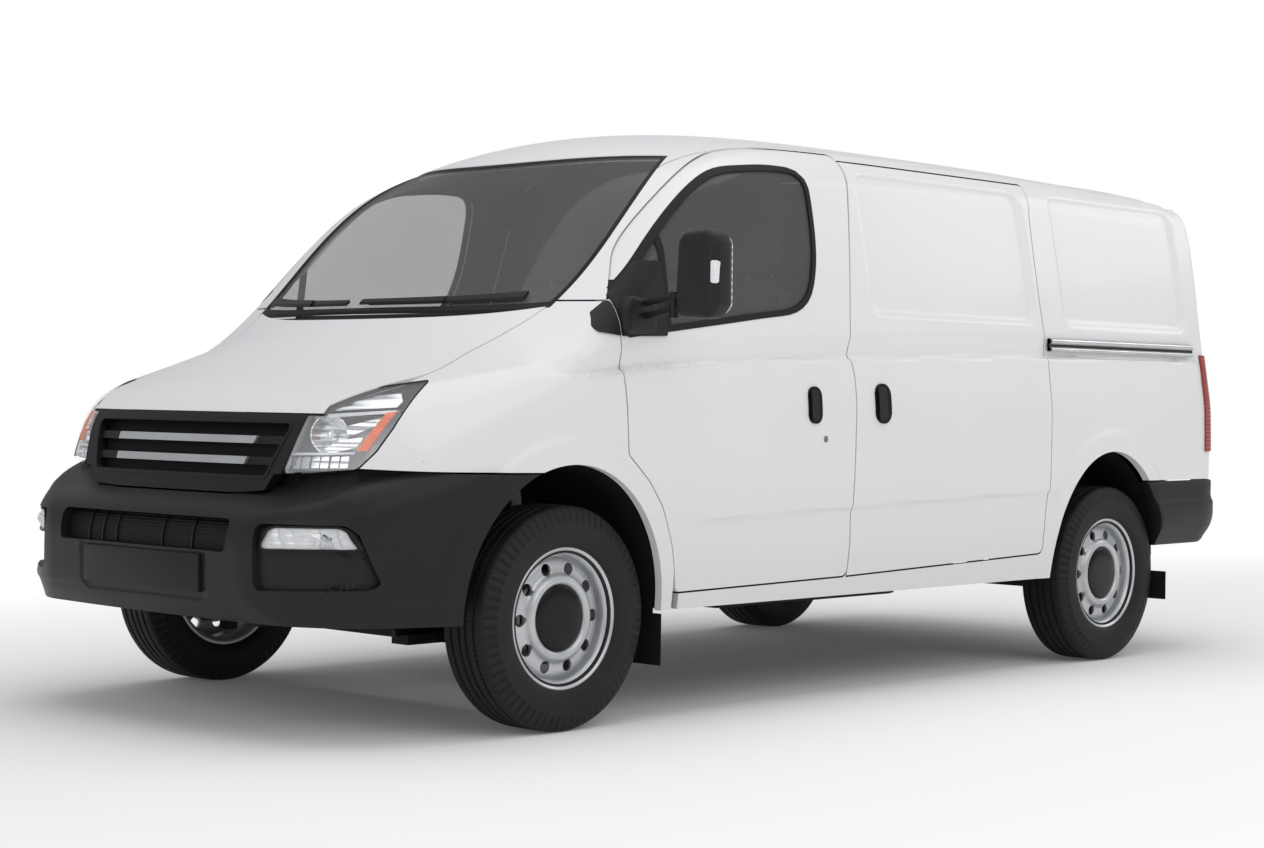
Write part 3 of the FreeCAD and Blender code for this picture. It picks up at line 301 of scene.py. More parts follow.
class Skin:
    """A smooth closed form from a profile in the middle plane, a half width, a crown and rounded edges."""

    def __init__(self, profile, half_width, crown, radius, form):
        self.place, self.along = spline(profile, 3201)
        self.rough = self.place[::16]
        self.half_width, self.crown, self.radius, self.form = half_width, crown, radius, form

    def depth(self, p):
        """How far points (n, 3) lie inside the plain skin."""
        x, y, z = p[:, 0], np.abs(p[:, 1]), p[:, 2]
        rough = np.argmin((x[:, None] - self.rough[:, 0]) ** 2 + (z[:, None] - self.rough[:, 1]) ** 2,
                          axis=1) * 16
        window = np.clip(rough[:, None] + np.arange(-18, 19), 0, len(self.place) - 1)
        near = self.place[window]
        best = window[np.arange(len(x)), np.argmin((x[:, None] - near[:, :, 0]) ** 2
                                                   + (z[:, None] - near[:, :, 1]) ** 2, axis=1)]
        best = np.clip(best, 1, len(self.place) - 2)
        spot, along = self.place[best], self.along[best]
        share = ((x - spot[:, 0]) * along[:, 0] + (z - spot[:, 1]) * along[:, 1])
        spacing = np.linalg.norm(self.place[best + 1] - self.place[best], axis=1)
        share = np.clip(share / spacing, -1, 1)
        other = best + np.where(share >= 0, 1, -1)
        weight = np.abs(share)[:, None]
        spot = spot * (1 - weight) + self.place[other] * weight
        along = along * (1 - weight) + self.along[other] * weight
        along = along / np.linalg.norm(along, axis=1, keepdims=True)
        top = (x - spot[:, 0]) * along[:, 1] - (z - spot[:, 1]) * along[:, 0]
        top = top - self.crown(spot[:, 0], spot[:, 1]) * (y / 1000.0) ** 2
        side = self.half_width(x, z) - y
        radius = np.maximum(self.radius(spot[:, 0], spot[:, 1]), 4.0)
        corner = (top < radius) & (side < radius)
        return np.where(corner, radius - np.hypot(radius - top, radius - side), np.minimum(top, side))

    def field(self, p):
        """The depth inside the skin with its pressings."""
        return self.depth(p) - self.form(p)

    def gradient(self, p, plain=False, reach=1.5):
        """Outward unit normals at points (n, 3)."""
        work = self.depth if plain else self.field
        slope = np.zeros_like(p)
        for k in range(3):
            offset = np.zeros(3)
            offset[k] = reach
            slope[:, k] = work(p - offset) - work(p + offset)
        return slope / np.maximum(np.linalg.norm(slope, axis=1, keepdims=True), 1e-9)

    def cast(self, origins, heads, starts, angles, run=None, steps=16):
        """Points where rays in section planes leave the skin."""
        shape = angles.shape
        run = np.full(shape, 500.0) if run is None else run
        for _ in range(steps):
            along = starts[:, None] + run * np.sin(angles)
            p = np.stack([origins[:, :1] + heads[:, :1] * along, run * np.cos(angles),
                          origins[:, 1:] + heads[:, 1:] * along], axis=-1)
            run = np.maximum(run + self.depth(p.reshape(-1, 3)).reshape(shape), 1.0)
        return p, run

    def lay(self, stations, side_step, edge_step, top_step, spread):
        """Fills the grid of points, normals and pressings: stations by rows, from the foot to the middle."""
        origins = np.array([s[0] for s in stations], float)
        heads = np.array([s[1] for s in stations], float)
        starts = np.array([s[2] for s in stations], float)
        angles = np.tile(np.linspace(0, math.pi / 2, 90), (len(stations), 1))
        p, run = self.cast(origins, heads, starts, angles)
        lengths = np.concatenate([np.zeros((len(stations), 1)),
                                  np.cumsum(np.linalg.norm(np.diff(p, axis=1), axis=2), axis=1)], axis=1)
        corner = p[:, :, 0] * heads[:, :1] + p[:, :, 2] * heads[:, 1:] + p[:, :, 1]
        edge = np.array([lengths[i, k] for i, k in enumerate(np.argmax(corner[:, 5:-5], axis=1) + 5)])
        edge = np.convolve(np.pad(edge, 6, mode="edge"), np.ones(13) / 13, mode="valid")
        edge = np.clip(edge, spread * 1.2, lengths[:, -1] - spread * 1.2)
        side_rows = int(np.max(edge - spread) / side_step)
        edge_rows = int(2 * spread / edge_step)
        top_rows = int(np.max(lengths[:, -1] - edge - spread) / top_step)
        share = np.concatenate([np.linspace(0, 1, side_rows, endpoint=False),
                                1 + np.linspace(0, 1, edge_rows, endpoint=False),
                                2 + np.linspace(0, 1, top_rows + 1)])
        places = np.stack([np.interp(share, [0, 1, 2, 3], [0, e - spread, e + spread, total])
                           for e, total in zip(edge, lengths[:, -1])])
        angles = np.stack([np.interp(places[i], lengths[i], angles[i]) for i in range(len(stations))])
        run = np.stack([np.interp(places[i], lengths[i], run[i]) for i in range(len(stations))])
        p, _ = self.cast(origins, heads, starts, angles, run, 9)
        normal = self.gradient(p.reshape(-1, 3), plain=True).reshape(p.shape)
        p[:, -1, 1] = 0.0
        normal[:, -1, 1] = 0.0
        self.points = np.concatenate([p, p[:, -2::-1] * (1, -1, 1)], axis=1)
        self.normals = np.concatenate([normal, normal[:, -2::-1] * (1, -1, 1)], axis=1)
        flat = self.form(self.points.reshape(-1, 3))
        self.sunk = flat.reshape(self.points.shape[:2])

    def slab(self, low, high, thickness, level=0.0, plain=False, margin=40.0, name="slab"):
        """A closed sheet of the skin inside a box: its outer face at a level, its inner face deeper."""
        low, high = np.array(low, float) - margin, np.array(high, float) + margin
        inside = np.all((self.points >= low) & (self.points <= high), axis=2)
        rows, columns = np.where(inside.any(axis=1))[0], np.where(inside.any(axis=0))[0]
        rows = slice(max(rows[0] - 1, 0), rows[-1] + 2)
        columns = slice(max(columns[0] - 1, 0), columns[-1] + 2)
        points, normals, sunk = (field[rows, columns] for field in (self.points, self.normals, self.sunk))
        if plain:
            sunk = np.zeros_like(sunk)
        outer = points - normals * (sunk + level)[:, :, None]
        inner = points - normals * (np.maximum(sunk, 0) * 0 + level + thickness)[:, :, None]
        a, b = points.shape[:2]
        index = np.arange(a * b).reshape(a, b)
        quads = np.stack([index[:-1, :-1], index[:-1, 1:], index[1:, 1:], index[1:, :-1]],
                         axis=-1).reshape(-1, 4)
        count = a * b
        rim = list(index[0, :]) + list(index[1:, -1]) + list(index[-1, -2::-1]) + list(index[-2:0:-1, 0])
        walls = [[rim[i], rim[(i + 1) % len(rim)], rim[(i + 1) % len(rim)] + count, rim[i] + count]
                 for i in range(len(rim))]
        faces = quads[:, ::-1].tolist() + (quads + count).tolist() + walls
        return turned_out(mesh_piece(name, np.concatenate([outer.reshape(-1, 3), inner.reshape(-1, 3)]),
                                     faces))

    def shade(self, piece, level=0.0, near=3.0, plain=False):
        """Gives a piece's outer faces the skin's own normals, and its other faces their own."""
        mesh = piece.data
        mesh.validate()
        count = len(mesh.vertices)
        points = np.empty(count * 3)
        mesh.vertices.foreach_get("co", points)
        points = points.reshape(-1, 3) / MM
        work = self.depth if plain else self.field
        offset = work(points) - level
        normals = self.gradient(points, plain=plain)
        on_skin = np.abs(offset) < near
        loops = np.empty(len(mesh.loops), int)
        mesh.loops.foreach_get("vertex_index", loops)
        faces = np.empty(len(mesh.polygons) * 3)
        mesh.polygons.foreach_get("normal", faces)
        totals = np.empty(len(mesh.polygons), int)
        mesh.polygons.foreach_get("loop_total", totals)
        face_of = np.repeat(np.arange(len(mesh.polygons)), totals)
        faces = faces.reshape(-1, 3)
        own = faces[face_of]
        skin = normals[loops]
        facing = np.einsum("ij,ij->i", own, skin)
        take = (on_skin[loops] & (facing > 0.55))[:, None]
        back = (~on_skin[loops] & (facing < -0.8))[:, None]
        result = np.where(take, skin, np.where(back, -skin, own))
        mesh.polygons.foreach_set("use_smooth", np.ones(len(mesh.polygons), bool))
        mesh.normals_split_custom_set(result.tolist())
        return piece


# Materials
class Wire:
    """A socket or a number in a material, with arithmetic that adds Math nodes."""

    def __init__(self, shop, value):
        self.shop, self.value = shop, value

    def maths(self, operation, *others):
        inputs = [other.value if isinstance(other, Wire) else other for other in (self,) + others]
        return self.shop.node("ShaderNodeMath", {"operation": operation}, dict(enumerate(inputs)))

    def __add__(self, other):
        return self.maths("ADD", other)

    def __sub__(self, other):
        return self.maths("SUBTRACT", other)

    def __mul__(self, other):
        return self.maths("MULTIPLY", other)

    def __truediv__(self, other):
        return self.maths("DIVIDE", other)

    def __rsub__(self, other):
        return Wire(self.shop, other).maths("SUBTRACT", self)

    __radd__ = __add__
    __rmul__ = __mul__

    def power(self, other):
        return self.maths("POWER", other)


class Finish:
    """A material under work: its nodes, its pattern sources and its shader."""

    def __init__(self, name):
        self.material = bpy.data.materials.new(name)
        self.material.use_nodes = True
        self.tree = self.material.node_tree
        self.tree.nodes.clear()
        self.output = self.tree.nodes.new("ShaderNodeOutputMaterial")

    def node(self, kind, settings=None, inputs=None, output=0):
        """Adds a node with its settings and its sockets' values or links."""
        made = self.tree.nodes.new(kind)
        for name, value in (settings or {}).items():
            if name == "stops":
                ramp = made.color_ramp
                while len(ramp.elements) < len(value):
                    ramp.elements.new(0.5)
                for element, (place, colour) in zip(ramp.elements, value):
                    element.position, element.color = place, colour
            else:
                setattr(made, name, value)
        for name, value in (inputs or {}).items():
            value = value.value if isinstance(value, Wire) else value
            if isinstance(value, bpy.types.NodeSocket):
                self.tree.links.new(value, made.inputs[name])
            else:
                made.inputs[name].default_value = value
        return Wire(self, made.outputs[output])

    def place(self, scale=1.0, centre=(0, 0, 0), turn=(0, 0, 0)):
        """Object coordinates, centred and scaled."""
        coordinates = self.node("ShaderNodeTexCoord", output="Object")
        factors = scale if isinstance(scale, tuple) else (scale, scale, scale)
        return self.node("ShaderNodeMapping", {"vector_type": "POINT"},
                         {"Vector": coordinates, "Scale": factors, "Rotation": turn,
                          "Location": tuple(-c * f for c, f in zip(centre, factors))})

    def noise(self, vector, scale, detail=3.0, rough=0.5):
        return self.node("ShaderNodeTexNoise", {"noise_dimensions": "3D"},
                         {"Vector": vector, "Scale": scale, "Detail": detail, "Roughness": rough})

    def ramp(self, factor, low, high, start=(0, 0, 0, 1), end=(1, 1, 1, 1)):
        return self.node("ShaderNodeValToRGB", {"stops": [(low, start), (high, end)]}, {"Fac": factor})

    def mixed(self, factor, first, second):
        return self.node("ShaderNodeMix", {"data_type": "RGBA"}, {0: factor, 6: first, 7: second}, output=2)

    def bump(self, height, strength, distance, normal=None):
        inputs = {"Height": height, "Strength": strength, "Distance": distance}
        if normal:
            inputs["Normal"] = normal
        return self.node("ShaderNodeBump", None, inputs)

    def surface(self, **sockets):
        """Ends the material with one shader. Underscores in the names stand for spaces."""
        shader = self.node("ShaderNodeBsdfPrincipled", None,
                           {name.replace("_", " "): value for name, value in sockets.items()})
        self.tree.links.new(shader.value, self.output.inputs["Surface"])
        return self.material


def body_paint():
    """White paint under clear coat: a fine orange peel, and paint that is darker, greyer and rougher towards
    the ground.
    """
    f = Finish("body_paint")
    colour = tuple(bpy.context.scene.van_colours.paint) + (1,)
    place = f.place()
    peel = f.noise(place, 260.0, 2.0)
    cloud = f.noise(place, 1.7, 3.0)
    height = f.node("ShaderNodeSeparateXYZ", None, {"Vector": f.node("ShaderNodeTexCoord", output="Object")},
                    output="Z")
    # Darker, greyer and rougher towards the ground: full below about 0.3 m, gone above about 0.95 m, with a
    # cloud in its edge.
    grit_bump_and_lower_darkening = f.ramp(height + cloud * 0.25, 0.28, 0.95, (1, 1, 1, 1), (0, 0, 0, 1))
    shade = f.mixed(f.ramp(cloud, 0.3, 0.75), colour, tuple(c * 0.975 for c in colour[:3]) + (1,))
    shade = f.mixed(grit_bump_and_lower_darkening * 0.22, shade, (0.50, 0.48, 0.45, 1))
    return f.surface(Base_Color=shade, Roughness=0.42 + grit_bump_and_lower_darkening * 0.2, Coat_Weight=0.25, Coat_Roughness=0.12,
                     Normal=f.bump(peel, 0.04, 0.0006))


def grained(name, colour, rough, grain=900.0, strength=0.22, light=1.5, metal=0.0, wear=0.0, shine=0.3):
    """Moulded or cast stuff: a fine grain, and patches that are a little lighter and duller."""
    f = Finish(name)
    place = f.place()
    fine = f.noise(place, grain, 2.0)
    cloud = f.noise(place, 3.1, 4.0)
    patch = f.ramp(cloud, 0.35, 0.72)
    tint = f.mixed(patch, colour + (1,), tuple(min(c * light, 1) for c in colour) + (1,))
    tint = f.mixed(f.ramp(fine, 0.45, 0.8) * 0.35, tint, tuple(min(c * light * 1.3, 1) for c in colour)
                   + (1,))
    if wear:
        scuffs = f.ramp(f.noise(place, 22.0, 6.0, 0.7), 0.58, 0.66)
        tint = f.mixed(scuffs * wear, tint, (0.16, 0.11, 0.08, 1))
    return f.surface(Base_Color=tint, Roughness=rough + patch * 0.10, Metallic=metal,
                     Specular_IOR_Level=shine, Normal=f.bump(fine, strength, 0.0006))


def tinted_glass_with_painted_reflection(name, colour, alpha, rough=0.02):
    """Dark glass: clear enough to see shapes through, with the faintest haze over it; its grey colour, lit
    like paint where the alpha keeps it, is partly a painted reflection.
    """
    f = Finish(name)
    haze = f.ramp(f.noise(f.place(), 2.3, 3.0), 0.3, 0.8)
    tint = f.mixed(haze, colour + (1,), tuple(c * 1.15 for c in colour) + (1,))
    # The grey base colour is partly the glass's tint and partly a painted reflection: it is lit like paint
    # and stands in for the grey of the glass's reflections.
    return f.surface(Base_Color=tint, Roughness=rough + haze * 0.03, Alpha=alpha, IOR=1.5)


def clear_lens(name, colour, alpha, lines=0.0, centre=(0, 0, 0)):
    """Moulded lamp plastic, with fine flutes if it has any."""
    f = Finish(name)
    place = f.place(1.0, centre)
    cloud = f.ramp(f.noise(place, 40.0, 2.0), 0.3, 0.7)
    tint = f.mixed(cloud, colour + (1,), tuple(min(1, c * 1.12) for c in colour) + (1,))
    sockets = {"Base_Color": tint, "Roughness": 0.04 + cloud * 0.03, "Alpha": alpha, "Coat_Weight": 0.6}
    if lines:
        wave = f.node("ShaderNodeTexWave", {"wave_type": "BANDS", "bands_direction": "Z"},
                      {"Vector": place, "Scale": lines}, output="Fac")
        sockets["Normal"] = f.bump(wave, 0.5, 0.002)
    return f.surface(**sockets)


def bright_metal(name, colour, rough, strength=0.05, metal=1.0, flutes=0.0, direction="X"):
    """Bright metal or its lacquer: a soft mottle and fine grain."""
    f = Finish(name)
    place = f.place()
    mottle = f.ramp(f.noise(place, 7.0, 4.0), 0.3, 0.75)
    tint = f.mixed(mottle, colour + (1,), tuple(c * 0.82 for c in colour) + (1,))
    height = f.noise(place, 700.0, 2.0) * 0.4
    if flutes:
        wave = f.node("ShaderNodeTexWave", {"wave_type": "BANDS", "bands_direction": direction},
                      {"Vector": place, "Scale": flutes}, output="Fac")
        height = height + wave * 4.0
    return f.surface(Base_Color=tint, Roughness=rough + mottle * 0.06, Metallic=metal,
                     Normal=f.bump(height, strength, 0.001))


def tyre_rubber():
    """Rubber: a fine grit in its bump, fine rings on the wall, blocks across the shoulder, and painted shade
    in the grooves.
    """
    f = Finish("tyre_rubber")
    unrolled = f.node("ShaderNodeUVMap", {"uv_map": "unrolled"})
    parts = {axis: f.node("ShaderNodeSeparateXYZ", None, {"Vector": unrolled}, output=axis) for axis in "XY"}
    round_it, over = parts["X"], parts["Y"]
    place = f.place()
    cloud = f.ramp(f.noise(place, 9.0, 4.0), 0.35, 0.7)
    grit_bump_and_lower_darkening = f.noise(place, 160.0, 3.0)
    rings = (over * 700.0).maths("SINE") * 0.5 + 0.5
    shoulder = f.ramp(over, 0.098, 0.106) * f.ramp(over, 0.150, 0.156, (1, 1, 1, 1), (0, 0, 0, 1))
    wall = f.ramp(over, 0.030, 0.034) * f.ramp(over, 0.086, 0.090, (1, 1, 1, 1), (0, 0, 0, 1))
    blocks = f.ramp((round_it * 70.0 * 2 * math.pi).maths("SINE") * 0.5 + 0.5, 0.32, 0.45)
    sipes = f.ramp((round_it * 140.0 * 2 * math.pi + over * 60.0).maths("SINE") * 0.5 + 0.5, 0.12, 0.22)
    tread = f.ramp(over, 0.150, 0.152)
    cut = 1 - shoulder * (1 - blocks) - tread * (1 - sipes) * 0.8
    tint = f.mixed(cloud, (0.009, 0.009, 0.0092, 1), (0.018, 0.018, 0.018, 1))
    # Painted shade: the grooves, sipes and gaps between the blocks are painted darker than the rubber round
    # them.
    tint = f.mixed(1 - cut, tint, (0.005, 0.005, 0.005, 1))
    height = cut * 1.0 + wall * rings * 0.12 + grit_bump_and_lower_darkening * 0.05
    return f.surface(Base_Color=tint, Roughness=0.58 + cloud * 0.14, Specular_IOR_Level=0.3,
                     Normal=f.bump(height, 0.5, 0.003))


def mesh_screen(name, scale):
    """A dark screen behind a grille: a small lattice of holes, painted near black as painted shade."""
    f = Finish(name)
    place = f.place()
    parts = {axis: f.node("ShaderNodeSeparateXYZ", None, {"Vector": place}, output=axis) for axis in "YZ"}
    lattice = ((parts["Y"] * scale).maths("SINE") * (parts["Z"] * scale).maths("SINE")).maths("ABSOLUTE")
    hole = f.ramp(lattice, 0.15, 0.55)
    # Painted shade: the holes are painted near black for the dark space behind them.
    tint = f.mixed(hole, (0.012, 0.012, 0.0125, 1), (0.001, 0.001, 0.001, 1))
    return f.surface(Base_Color=tint, Roughness=0.6, Specular_IOR_Level=0.25,
                     Normal=f.bump(1 - hole, 0.8, 0.004))


def woven(name, first, second):
    """Seat cloth: a small weave with a mottle of two shades."""
    f = Finish(name)
    place = f.place()
    parts = {axis: f.node("ShaderNodeSeparateXYZ", None, {"Vector": place}, output=axis) for axis in "XYZ"}
    warp = ((parts["Y"] * 2600.0).maths("SINE") * ((parts["X"] + parts["Z"]) * 2600.0).maths("SINE"))
    weave = warp * 0.5 + 0.5
    mottle = f.ramp(f.noise(place, 90.0, 4.0), 0.4, 0.65)
    tint = f.mixed(mottle, first + (1,), second + (1,))
    tint = f.mixed(weave * 0.4, tint, tuple(c * 0.5 for c in first) + (1,))
    return f.surface(Base_Color=tint, Roughness=0.86, Normal=f.bump(weave, 0.5, 0.0008))


def paint_all(piece, material):
    """One material over a whole piece."""
    piece.data.materials.clear()
    piece.data.materials.append(material)
    return piece


STORE = {}


def finish_of(name):
    """The named finish, made when it is first wanted."""
    colours = bpy.context.scene.van_colours
    makers = {
        "body_paint": body_paint,
        "bumper_plastic": lambda: grained("bumper_plastic", tuple(colours.plastic), 0.42, strength=0.2,
                                          light=1.3),
        "gloss_black": lambda: grained("gloss_black", (0.005, 0.005, 0.0055), 0.16, 400.0, 0.03, 1.2,
                                       shine=0.22),
        "trim_black": lambda: grained("trim_black", (0.006, 0.006, 0.0065), 0.42, 700.0, 0.12, 1.3),
        "rubber_seal": lambda: grained("rubber_seal", (0.005, 0.005, 0.005), 0.60, 500.0, 0.2, 1.3),
        "flap_rubber": lambda: grained("flap_rubber", (0.012, 0.012, 0.012), 0.55, 300.0, 0.3),
        "liner_plastic": lambda: grained("liner_plastic", (0.007, 0.007, 0.007), 0.80, 240.0, 0.4, 1.3,
                                         shine=0.15),
        "cab_plastic": lambda: grained("cab_plastic", (0.030, 0.031, 0.033), 0.60, 600.0, 0.3),
        "chassis_steel": lambda: grained("chassis_steel", (0.012, 0.012, 0.013), 0.60, 150.0, 0.3, 1.7, 0.2,
                                         0.5),
        "bare_steel": lambda: grained("bare_steel", (0.22, 0.21, 0.20), 0.42, 220.0, 0.2, 1.3, 0.9, 0.4),
        "exhaust_steel": lambda: grained("exhaust_steel", (0.20, 0.18, 0.16), 0.44, 90.0, 0.3, 1.4, 0.85,
                                         0.7),
        "engine_metal": lambda: grained("engine_metal", (0.25, 0.25, 0.25), 0.50, 260.0, 0.4, 1.3, 0.8, 0.2),
        "tank_plastic": lambda: grained("tank_plastic", (0.018, 0.018, 0.018), 0.60, 300.0, 0.3),
        "window_glass": lambda: tinted_glass_with_painted_reflection("window_glass", (0.17, 0.175, 0.18), 0.30),
        "screen_glass": lambda: tinted_glass_with_painted_reflection("screen_glass", (0.20, 0.205, 0.21), 0.26),
        "lamp_lens": lambda: clear_lens("lamp_lens", (0.93, 0.95, 0.97), 0.09),
        "fog_lens": lambda: clear_lens("fog_lens", (0.92, 0.94, 0.96), 0.30, 26.0),
        "amber_lens": lambda: clear_lens("amber_lens", (0.80, 0.13, 0.004), 1.0, 30.0),
        "tail_lens": lambda: clear_lens("tail_lens", (0.30, 0.006, 0.008), 1.0, 18.0),
        "clear_tail": lambda: clear_lens("clear_tail", (0.80, 0.80, 0.82), 1.0, 22.0),
        "reflector": lambda: bright_metal("reflector", (0.86, 0.87, 0.88), 0.10, 0.35, 1.0, 14.0, "Z"),
        "lamp_shell": lambda: bright_metal("lamp_shell", (0.80, 0.81, 0.82), 0.28, 0.1, 0.35),
        "wheel_paint": lambda: bright_metal("wheel_paint", tuple(colours.wheel), 0.34, 0.05, 0.70),
        "silver_trim": lambda: bright_metal("silver_trim", (0.62, 0.63, 0.64), 0.30, 0.05, 0.75),
        "rail_aluminium": lambda: bright_metal("rail_aluminium", (0.60, 0.60, 0.61), 0.26, 0.08, 0.9, 3.0,
                                               "Z"),
        "tyre": tyre_rubber,
        "screen": lambda: mesh_screen("screen", 700.0),
        "intake_screen": lambda: mesh_screen("intake_screen", 330.0),
        "seat_fabric": lambda: woven("seat_fabric", tuple(colours.cloth),
                                     tuple(c * 1.85 for c in colours.cloth)),
    }
    if name not in STORE:
        STORE[name] = makers[name]()
    return STORE[name]


def settle(piece, body, nodes=(), finish=None):
    """Ends a piece: its finish, its body and the nodes that it stands for."""
    if finish:
        paint_all(piece, finish_of(finish))
    if not piece.data.polygons:
        raise RuntimeError(piece.name + " has no faces")
    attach(piece, body)
    if nodes:
        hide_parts(*nodes)
    return piece


# The body's skin
gap = 6.0
roof_half = 690.0
arch_x = {"front": 1558.0, "rear": -1505.0}
arch_size = {"front": (412.0, 478.0), "rear": (412.0, 495.0)}
side_profile = [
    (-2360, 200), (-2385, 900), (-2375, 1500), (-2335, 1910), (-2290, 1968), (-2210, 1996), (-1900, 2014),
    (-1200, 2027), (-600, 2030), (0, 2027), (450, 2003), (720, 1958), (930, 1885), (1290, 1600),
    (1640, 1298), (1800, 1222), (2060, 1105), (2262, 985), (2300, 915), (2345, 760), (2367, 600),
    (2367, 400), (2357, 200)]
side_bulge = Table([(200, 940), (350, 968), (600, 992), (800, 999), (1000, 996), (1150, 978), (1300, 955),
                    (1500, 925), (1700, 888), (1880, 850), (2060, 812), (2200, 780)])
edge_radii = Table([(-2400, 60), (-2250, 60), (-2000, 100), (500, 100), (1000, 60), (1640, 60),
                    (2000, 150), (2250, 260)])
pressings = ((-499.0, 1600.0, 511.0, 253.0), (-1687.5, 1601.5, 462.5, 253.5))
band_low = Table([(-2180, 1222), (-1072, 1216), (-462, 1203), (163, 1186), (876, 1157), (1303, 1125),
                  (1500, 1106)])
band_high = Table([(-2180, 1318), (-1066, 1309), (-471, 1286), (155, 1262), (866, 1229), (1321, 1190),
                   (1500, 1165)])
crease_line = Table([(-1030, 694), (223, 663), (995, 637)])
gutter_line = Table([(-2221, 1902), (-1231, 1937), (-600, 1930), (27, 1905)])


def body_half_width(x, z):
    width = side_bulge(z)
    width = width - 260.0 * (np.maximum(x - 1200.0, 0) / 1150.0) ** 3
    return width - 20.0 * (np.maximum(-2000.0 - x, 0) / 400.0) ** 2


def body_crown(x, z):
    return 60.0 + 115.0 * step(-2372.0, -2300.0, x) - 110.0 * step(1560.0, 2280.0, x)


def box_distance(a, b, centre, half, radius):
    """Signed distance to a rounded rectangle, negative inside."""
    da, db = np.abs(a - centre[0]) - half[0] + radius, np.abs(b - centre[1]) - half[1] + radius
    return np.hypot(np.maximum(da, 0), np.maximum(db, 0)) + np.minimum(np.maximum(da, db), 0) - radius


def arch_distance(x, z, which):
    """Distance outside a wheel arch's opening."""
    a, b = arch_size[which]
    ring = np.hypot((x - arch_x[which]) / a, (z - 352.0) / b)
    return (ring - 1.0) * (a + b) / 2


def body_form(p):
    """How deep the pressings, band, creases and flares lie at points on the body."""
    x, y, z = p[:, 0], np.abs(p[:, 1]), p[:, 2]
    depth = np.zeros(len(x))
    flank = step(560, 640, y) * step(-2290, -2235, x)
    for cx, cz, hx, hz in pressings:
        inside = box_distance(x, z, (cx, cz), (hx + 8, hz + 8), 62.0)
        depth += 17.0 * step(4.0, -28.0, inside) * flank
    low, high = band_low(x), band_high(x)
    fade = step(-2250, -2190, x) * step(1720, 1480, x)
    depth += 19.0 * fade * flank * step(low - 6, low + 8, z) * step(high + 10, low + 10, z)
    line = crease_line(x)
    fade = step(1060, 900, x) * step(-1180, -1060, x)
    depth += 8.0 * fade * flank * step(line + 5, line - 9, z) * step(line - 150, line - 20, z)
    gutter = gutter_line(x)
    depth += 3.0 * flank * step(8, 2, np.abs(z - gutter)) * step(120, 20, x)
    for which in ("front", "rear"):
        ring = arch_distance(x, z, which)
        fade = step(300, 330, z) * flank
        depth -= 8.0 * fade * step(92, 58, ring) * step(-60, -20, ring)
    tail = step(-2290, -2330, x)
    inner = 95.0
    slope = np.interp(z, [1330, 1800], [770, 735])
    inside = box_distance(y, z, ((inner + slope) / 2, 1565.0), ((slope - inner) / 2, 235.0), 55.0)
    depth += 13.0 * step(6.0, -30.0, inside) * tail
    return depth


def section_planes():
    """Section planes of the body: a fan round the tail, upright ones, a slow turn, a fan round the nose."""
    planes = []
    for angle in np.arange(124.0, 90.3, -0.45):
        a = math.radians(angle)
        planes.append(((-1900, -300), (math.cos(a), math.sin(a)), 350))
    planes += [((x, -300), (0, 1), 350) for x in np.arange(-1900.0, 451.0, 15.5)]
    lean = math.radians(115)
    head = 1700 + 2300 * math.cos(lean) / math.sin(lean)
    for share in np.arange(1, 66) / 66.0:
        x0, x1 = 450 + 1250 * share, 450 + (head - 450) * share
        run = math.hypot(x1 - x0, 2300)
        planes.append(((x0, -300), ((x1 - x0) / run, 2300 / run), 350))
    for angle in np.arange(115.0, 39.9, -0.42):
        a = math.radians(angle)
        planes.append(((1700, -300), (math.cos(a), math.sin(a)), 350))
    return planes


body = Skin(side_profile, body_half_width, body_crown, lambda x, z: edge_radii(x), body_form)


def eased(points, count=6):
    """A smooth run through plain corners."""
    place, _ = spline(points, count * (len(points) - 1) + 1)
    return [tuple(p) for p in place]


door_rear_edge = [(60, 1916), (130, 1500), (178, 1190), (165, 1116), (192, 425)]
roof_run = [(1332, 1348), (1298, 1394), (1260, 1445), (1220, 1499), (1169, 1556), (1044, 1671), (889, 1781),
            (745, 1848), (601, 1891), (466, 1911), (320, 1917)]
door_outline = ([(1080, 412, 25), (1110, 560, 60), (1161, 690, 60), (1228, 775, 60), (1322, 858, 30),
                 (1334, 1112, 60)] + sharp(eased(roof_run, 3)) + [(60, 1918, 12)]
                + [(130, 1500, 0), (178, 1190, 30), (165, 1116, 30), (192, 425, 25)])
window_run = [(1306, 1385), (1228, 1458), (1147, 1540), (1002, 1671), (868, 1762), (737, 1814), (620, 1831),
              (518, 1841), (410, 1843), (340, 1829), (311, 1794), (304, 1740), (306, 1628), (317, 1533),
              (336, 1463), (372, 1394), (434, 1350), (552, 1326), (781, 1298)]
window_outline = [(1306, 1233, 12)] + sharp(eased(window_run, 3))
sliding_rear_edge = [(-1100, 1895, 8), (-1078, 1839, 40), (-1060, 1759, 60), (-1050, 1602, 60),
                     (-1050, 1447, 60), (-1060, 1324, 60), (-1070, 1240, 40), (-1064, 1139, 60),
                     (-1053, 700, 60), (-1030, 570, 60), (-1024, 457, 25)]
sliding_outline = (sharp([(x - gap, z) for x, z in door_rear_edge[:0:-1]])
                   + [(door_rear_edge[0][0] - gap, 1895, 8)] + sliding_rear_edge)
rear_door_outline = [(gap / 2, 600, 10), (gap / 2, 1893, 10), (800, 1893, 90), (868, 1500, 200),
                     (876, 900, 0), (876, 732, 10), (748, 732, 20), (740, 600, 20)]
bonnet_side = [(1440, 732), (1564, 692), (1714, 684), (1880, 712), (1940, 706), (1996, 684), (2084, 658),
               (2161, 629), (2205, 598), (2250, 572)]
bonnet_edge = 979.0
screen_side = [(870, 682), (960, 717), (1140, 755), (1290, 760)]
